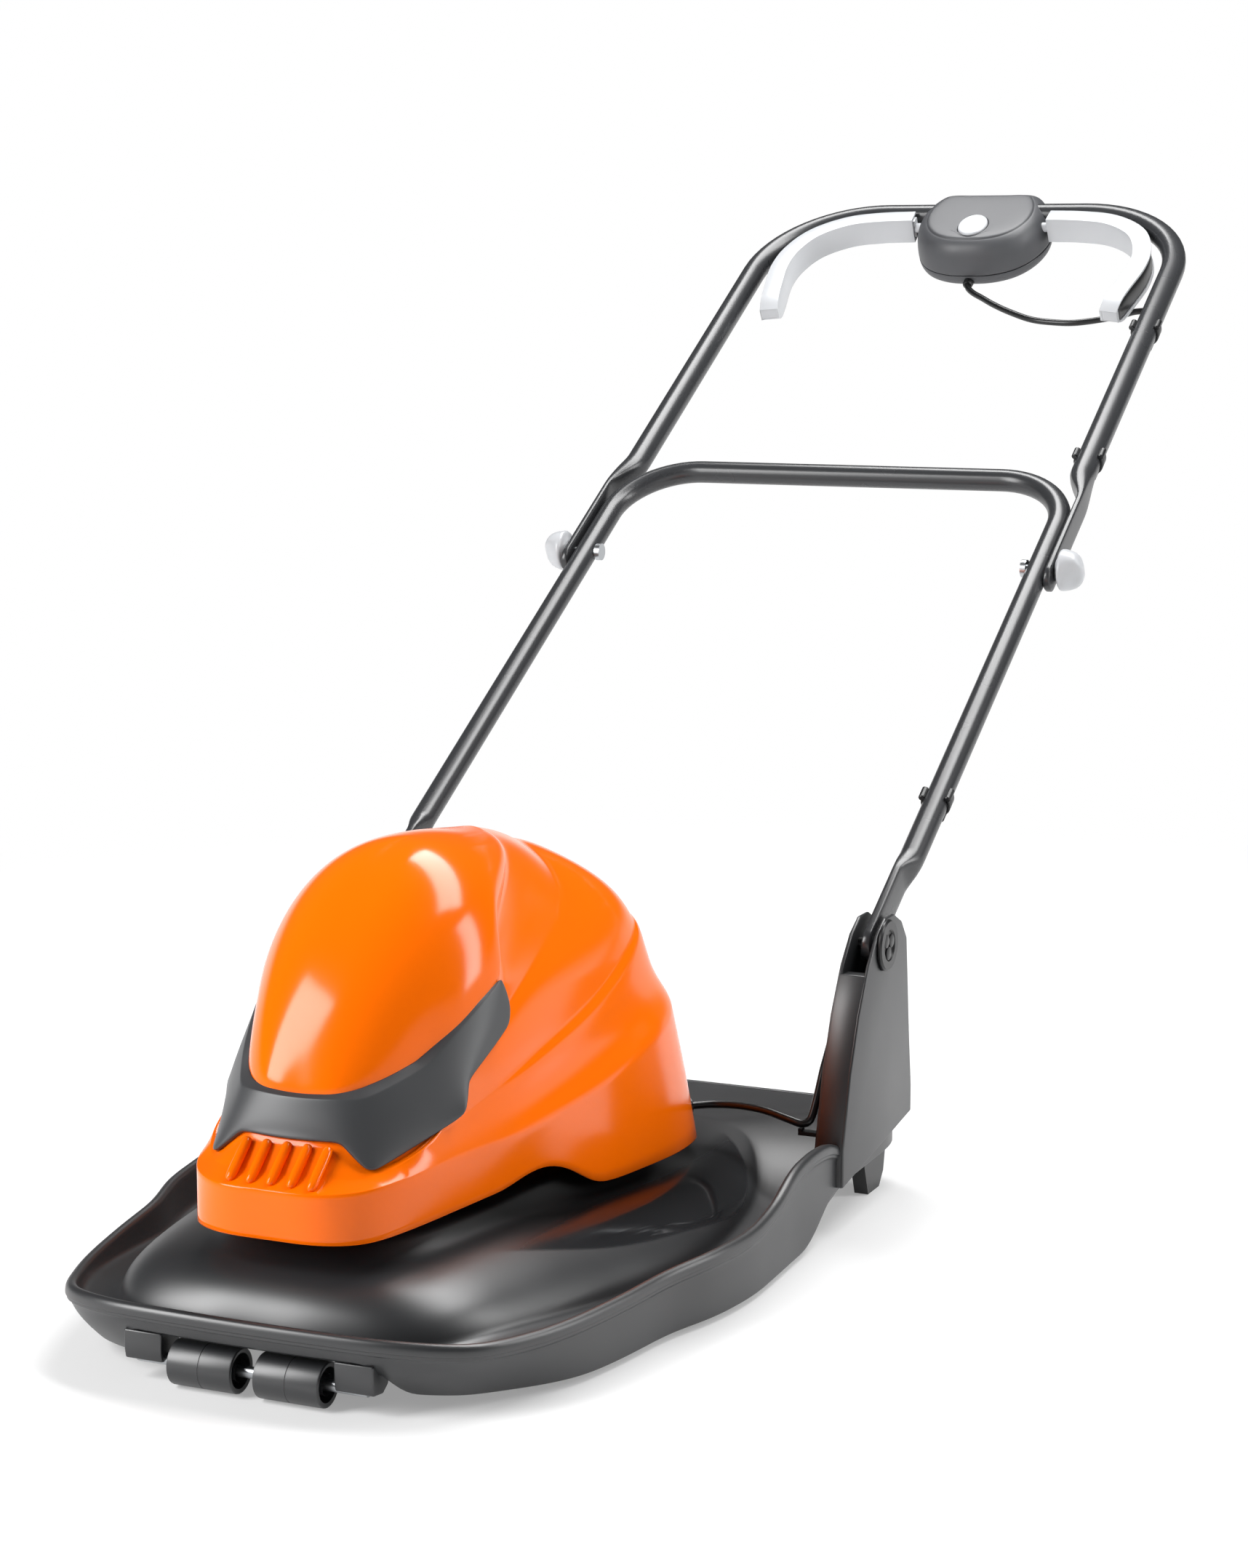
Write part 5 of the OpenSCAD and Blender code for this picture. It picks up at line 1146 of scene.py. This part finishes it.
@dataclass
class Bail:
    """The switch bail: a channel on each side of the box, on one shaft."""

    width: float = 19.0
    height: float = 27.0
    wall: float = 2.6
    level: float = -1.0
    start: float = 71.0
    drop: float = 118.0
    shaft_y: float = UPPER_L - 23
    shaft_r: float = 5.0
    shaft_l: float = 146.0

    def build(self) -> None:
        """Builds both arms, the shaft and a black sheet inside the outer part of each channel."""
        y = self.shaft_y
        line = [(mix(self.start, UPPER_X, a), y - b * self.drop, self.level) for a, b in BAIL]
        w, h, t = self.width / 2, self.height / 2, self.wall
        section = [(w, -h), (w, h), (-w, h), (-w, h - t), (w - t, h - t), (w - t, t - h), (-w, t - h), (-w, -h)]
        block = [(w, -h), (w, h), (-w, h), (-w, -h)]
        path = free_curve(line, 5)
        tips = (0.42, 0.74, 0.9, 0.98)
        tip = [tips[k] if k < len(tips) else 1.0 for k in reversed(range(len(path)))]
        form = Form(on_handle)
        for side in Side:
            form.place = mirrored(on_handle, side)
            form.sweep(path, lambda i: [(a, b * tip[i]) for a, b in section])
            form.sweep([path[-2].lerp(path[-1], 0.4), path[-1]], lambda i: [(a, b * (0.6, 0.42)[i]) for a, b in block])
            boss = ((-3.5, -9.9), (6.3, -9.9), (6.3, 9.9), (-3.5, 9.9))
            form.prism([(self.start + 1, y + a, self.level + b) for a, b in boss], (14, 0, 0), 0.8)
        form.place = on_handle
        r, n = self.shaft_r, self.shaft_l
        form.lathe([(0, 0), (r, 0), (r, n), (0, n)], (-n / 2, y, self.level), 0)
        bmesh.ops.recalc_face_normals(form.bm, faces=form.bm.faces[:])
        form.soften(form.bm.edges, 0.9, 0.9)
        form.piece("bail_channel", "light_plastic", "switch_bail", ["bail"])
        # A black sheet covers the inside of each channel's outer part, which makes that part dark inside
        inner = [(w - t, t - h), (w - t, h - t), (2.5 - w, h - t), (1.2 - w, h - t - 2), (1.2 - w, t + 2 - h),
                 (2.5 - w, t - h)]
        black_inside = Form(on_handle)
        for side in Side:
            black_inside.place = mirrored(on_handle, side)
            black_inside.sweep(path[3:-1], lambda i: [(a, b * tip[i + 3]) for a, b in inner])
        black_inside.piece("bail_black_inside", "black_plastic", "switch_bail")


UPPER_ROUTE = [
    (0, 1046, -29), (0, 1040, -29), (0.6, 1034, -29), (4, 1027, -28.8), (12, 1018, -28.5), (24, 1008, -28),
    (40, 994, -27), (62, 978, -26), (90, 962, -25), (117, 956, -24.5), (138, 955, -24), (161, 960, -23.5),
    (181, 967, -23), (195, 974, -22.5), (209, 973, -21.5), (219, 960, -20), (225, 940, -17.5), (226, 920, -16),
    (226, 903, -15.8), (226, 790, -15.8), (226, 678, -15.8), (226, 640.3, -15.8)]
JOINT_ROUTE = [
    (226, 640.6, -15.8), (226, 615, -17.5), (225, 580, -19), (224, 530, -18), (223, 490, -14.6), (223, 469.4, -14)]
LOWER_ROUTE = [(223, 469.7, -14), (223, 320, -14), (223, 178, -14), (223, 170.3, -14)]
PIVOT_ROUTE = [
    (223, 758.2, 283.7), (223, 745.3, 276), (216, 716, 256), (206, 672, 226), (202, 622, 188), (202.5, 580, 152),
    (202.5, 551, 121), (202.5, 541.8, 108.8)]
DECK_ROUTE = [
    (202.5, 542, 109), (202.5, 533, 97), (201, 524, 83.5), (195, 521, 80.2), (184, 522, 82), (162, 528, 85),
    (138, 534, 85), (117, 533, 84), (104, 524, 84), (96, 514, 84), (90, 506, 84)]


@dataclass
class Lead:
    """The lead from the switch box down the right legs to the cover, in the stretches between the folds."""

    gland_y: float = 1034.5
    gland_l: float = 9.0
    level: float = -29.0

    def stretch(self, name: str, node: str, route: Sequence[Point], place: Place, body: Optional[str],
                up: Vector = Z_AXIS) -> bpy.types.Object:
        """Sweeps one stretch of the lead.

        Args:
            name: the piece's name.
            node: the node that it stands for.
            route: the points that it follows.
            place: how the points are placed.
            body: the body that it rides on, or none.
            up: a direction that the route never takes.

        Returns:
            The stretch.
        """
        form = Form(place)
        form.sweep(free_curve(route, 6), lambda i: disc(LEAD_D / 2, 14), up)
        return form.piece(name, "lead_rubber", body, [node], sharp=60)

    def build(self) -> None:
        """Builds the gland and the five stretches; two ride on no body and keep their points in the shared frame."""
        n = self.gland_l
        gland = Form(on_handle)
        gland.lathe([(0, 0), (4.4, 0), (5.2, 1.5), (5.5, n), (0, n)], (0, self.gland_y, self.level), 1)
        gland.piece("gland_sleeve", "black_plastic", "upper_frame", ["lead_gland"])
        self.stretch("lead_run_upper", "lead_upper", UPPER_ROUTE, on_handle, "upper_frame")
        self.stretch("lead_run_lower", "lead_lower", LOWER_ROUTE, on_handle, "lower_frame")
        self.stretch("lead_run_deck", "lead_deck", DECK_ROUTE, on_deck, "deck")
        joint = self.stretch("lead_run_joint", "lead_joint", JOINT_ROUTE, on_handle, None)
        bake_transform(joint)
        pivot = self.stretch("lead_run_pivot", "lead_pivot", PIVOT_ROUTE, on_deck, None, X_AXIS)
        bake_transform(pivot)


@dataclass
class FrontRollers:
    """The front rollers with their supports."""

    diameter: float = 31.0
    length: float = 49.0
    start: float = 8.3
    axle_y: float = 18.0
    arm_gap: float = 8.0
    arm_w: float = 29.0
    arm_h: float = 35.0

    def build(self) -> None:
        """Builds both rollers and both supports."""
        r, n = self.diameter / 2, self.length
        half = [(4.1, 8), (6.5, 8), (7.5, 0.6), (7.6, 8), (11.6, 8), (12, 0.6), (r - 1.2, 0), (r - 0.2, 0.5), (r, 1.5),
                (r, n / 2 - 0.5), (r - 0.3, n / 2 - 0.2)]
        profile = half + [(a, n - b) for a, b in reversed(half)] + half[:1]
        outline = [(-0.24, 1), (-0.24, 0.6), (-0.2, 0.42), (0.2, 0.37), (0.42, 0.5), (0.5, 0.75), (0.5, 1)]
        for side in Side:
            name = side.name.lower()
            form = Form(mirrored(on_deck, side))
            form.lathe(profile, (self.start, self.axle_y, r), 0, 56)
            form.piece(f"roller_drum_{name}", "deck_plastic", f"front_roller_{name}", [f"roller_{name}"])
            x = self.start + n + self.arm_gap
            arm = Form(mirrored(on_deck, side))
            arm.prism([(x, self.axle_y + a * self.arm_w * 1.1, b * self.arm_h) for a, b in outline],
                      (self.arm_w, 0, 0), 1.2, 3)
            arm.piece(f"roller_arm_{name}", "deck_plastic", "deck", [f"roller_support_{name}"])


@dataclass
class Studio:
    """Camera, floor and soft lights."""

    focal_px: float = 4349.16
    azimuth: float = 23.944
    elevation: float = 9.249
    eye: Point = (1.03295, -2.51431, 0.73309)
    photo_w: int = 1716
    photo_h: int = 2156
    sensor: float = 36.0
    floor_grey: float = 0.88
    veil: float = 0.3
    veil_from: float = 0.8
    veil_to: float = 1.5
    horizon_from: float = 0.02
    horizon_to: float = 0.18
    ceiling: float = 0.05
    ambient: float = 0.15

    def camera(self) -> None:
        """Places the camera at the photograph's angle."""
        data = bpy.data.cameras.new("photo_camera")
        data.sensor_fit = "VERTICAL"
        data.sensor_height = self.sensor
        data.sensor_width = self.sensor * self.photo_w / self.photo_h
        data.lens = self.focal_px * self.sensor / self.photo_h
        data.clip_end = 50
        cam = link("photo_camera", data)
        az, el = math.radians(self.azimuth), math.radians(self.elevation)
        look = Vector((-math.sin(az) * math.cos(el), math.cos(az) * math.cos(el), -math.sin(el)))
        right = look.cross(Z_AXIS).normalized()
        up = right.cross(look)
        cam.matrix_world = Matrix.Translation(self.eye) @ Matrix((right, up, -look)).transposed().to_4x4()
        bpy.context.scene.camera = cam

    def lamp(self, name: str, at: Point, target: Point, size: tuple[float, float], watts: float) -> None:
        """Adds one soft box.

        Args:
            name: the lamp's name.
            at: where it hangs, in metres.
            target: what it points at.
            size: width and height in metres.
            watts: its power.
        """
        data = bpy.data.lights.new(name, "AREA")
        data.shape = "RECTANGLE"
        data.size, data.size_y = size
        data.energy = watts
        obj = link(name, data)
        way = Vector(target) - Vector(at)
        obj.matrix_world = Matrix.Translation(at) @ way.to_track_quat("-Z", "Y").to_matrix().to_4x4()

    def floor(self) -> None:
        """Lays the pale floor that keeps the shadow."""
        bm = bmesh.new()
        bmesh.ops.create_grid(bm, x_segments=1, y_segments=1, size=30)
        mesh = bpy.data.meshes.new("floor")
        bm.to_mesh(mesh)
        bm.free()
        obj = link("floor", mesh)
        obj.location.z = -0.0005
        mat = bpy.data.materials.new("pale_floor")
        tree = empty_tree(mat)
        matte = add(tree, "ShaderNodeBsdfDiffuse", Color=(*[self.floor_grey] * 3, 1))
        white = add(tree, "ShaderNodeEmission", Color=WHITE, Strength=1.0)
        spot = add(tree, "ShaderNodeTexCoord")
        far = add(tree, "ShaderNodeVectorMath", {"operation": "LENGTH"}, i0=spot.outputs["Object"])
        fade = remap(tree, far.outputs["Value"], self.veil_from, self.veil_to, self.veil, 1.0, "SMOOTHSTEP")
        shown = add(tree, "ShaderNodeMixShader", i0=fade, i1=matte.outputs[0], i2=white.outputs[0])
        out = add(tree, "ShaderNodeMixShader", i0=self.seen(tree), i1=matte.outputs[0], i2=shown.outputs[0])
        add(tree, "ShaderNodeOutputMaterial", Surface=out.outputs[0])
        mesh.materials.append(mat)

    def seen(self, tree: bpy.types.NodeTree) -> bpy.types.NodeSocket:
        """Returns a mask of the rays that show the background: from the camera, in mirrors and through glass."""
        path = add(tree, "ShaderNodeLightPath").outputs
        first = calc(tree, "MAXIMUM", path["Is Camera Ray"], path["Is Glossy Ray"])
        return calc(tree, "MAXIMUM", first, path["Is Transmission Ray"])

    def world(self) -> None:
        """Sets a white surround with a dark ceiling, and a dimmer one for the light."""
        world = bpy.data.worlds.new("white_room")
        bpy.context.scene.world = world
        tree = empty_tree(world)
        way = add(tree, "ShaderNodeTexCoord")
        axes = add(tree, "ShaderNodeSeparateXYZ", Vector=way.outputs["Generated"])
        low = remap(tree, axes.outputs[2], self.horizon_from, self.horizon_to, 1.0, self.ceiling, "SMOOTHSTEP")
        level = calc(tree, "MAXIMUM", low, add(tree, "ShaderNodeLightPath").outputs["Is Camera Ray"])
        white = add(tree, "ShaderNodeBackground", Color=WHITE, Strength=level)
        light = add(tree, "ShaderNodeBackground", Color=WHITE, Strength=self.ambient)
        pick = add(tree, "ShaderNodeMixShader", i0=self.seen(tree), i1=light.outputs[0], i2=white.outputs[0])
        add(tree, "ShaderNodeOutputWorld", Surface=pick.outputs[0])

    def build(self) -> None:
        """Sets up the whole studio."""
        self.camera()
        self.floor()
        self.world()
        self.lamp("key_left", (-1.65, -2.35, 1.6), (0, -0.4, 0.25), (1.1, 2.0), 96)
        self.lamp("strip_right", (2.6, 0.7, 1.4), (0, -0.3, 0.25), (0.6, 1.9), 37)
        self.lamp("back_top", (0.4, 0.8, 2.6), (0, -0.3, 0.2), (2.8, 0.8), 88)
        bpy.context.scene.view_settings.view_transform = "Standard"


def dress_nodes() -> None:
    """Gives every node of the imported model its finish."""
    for part in frame["record"]["subparts"]:
        obj = frame["nodes"][part["node"]]
        obj.data.materials.clear()
        obj.data.materials.append(finish_of(part["material_slot"]))


def main() -> None:
    """Builds the sub-assemblies in order."""
    logging.basicConfig(level=logging.INFO)
    Studio().build()
    Lead().build()
    dress_nodes()
    Deck().build()
    Cover().build()
    for side in Side:
        Bracket(side).build()
        Knob(side).build()
    Tube("lower_hoop", "lower_handle", "lower_frame", leg_x=LOWER_X, diameter=LOWER_D, reach=640.0, bend=72.0,
         flat_x=220.0, flat_t=8.0, flat_h=28.0, tip=-14.0, flat_end=75.0, round_from=105.0).build()
    Tube("upper_hoop", "upper_handle", "upper_frame", leg_x=UPPER_X, diameter=UPPER_D, reach=UPPER_L, bend=118.0,
         flat_x=236.8, flat_t=6.0, flat_h=25.0, tip=478.0, flat_end=600.0, round_from=655.0).build()
    LeadClips().build()
    SwitchBox().build()
    ButtonSpring().build()
    Bail().build()
    FrontRollers().build()


if __name__ == "__main__":
    main()
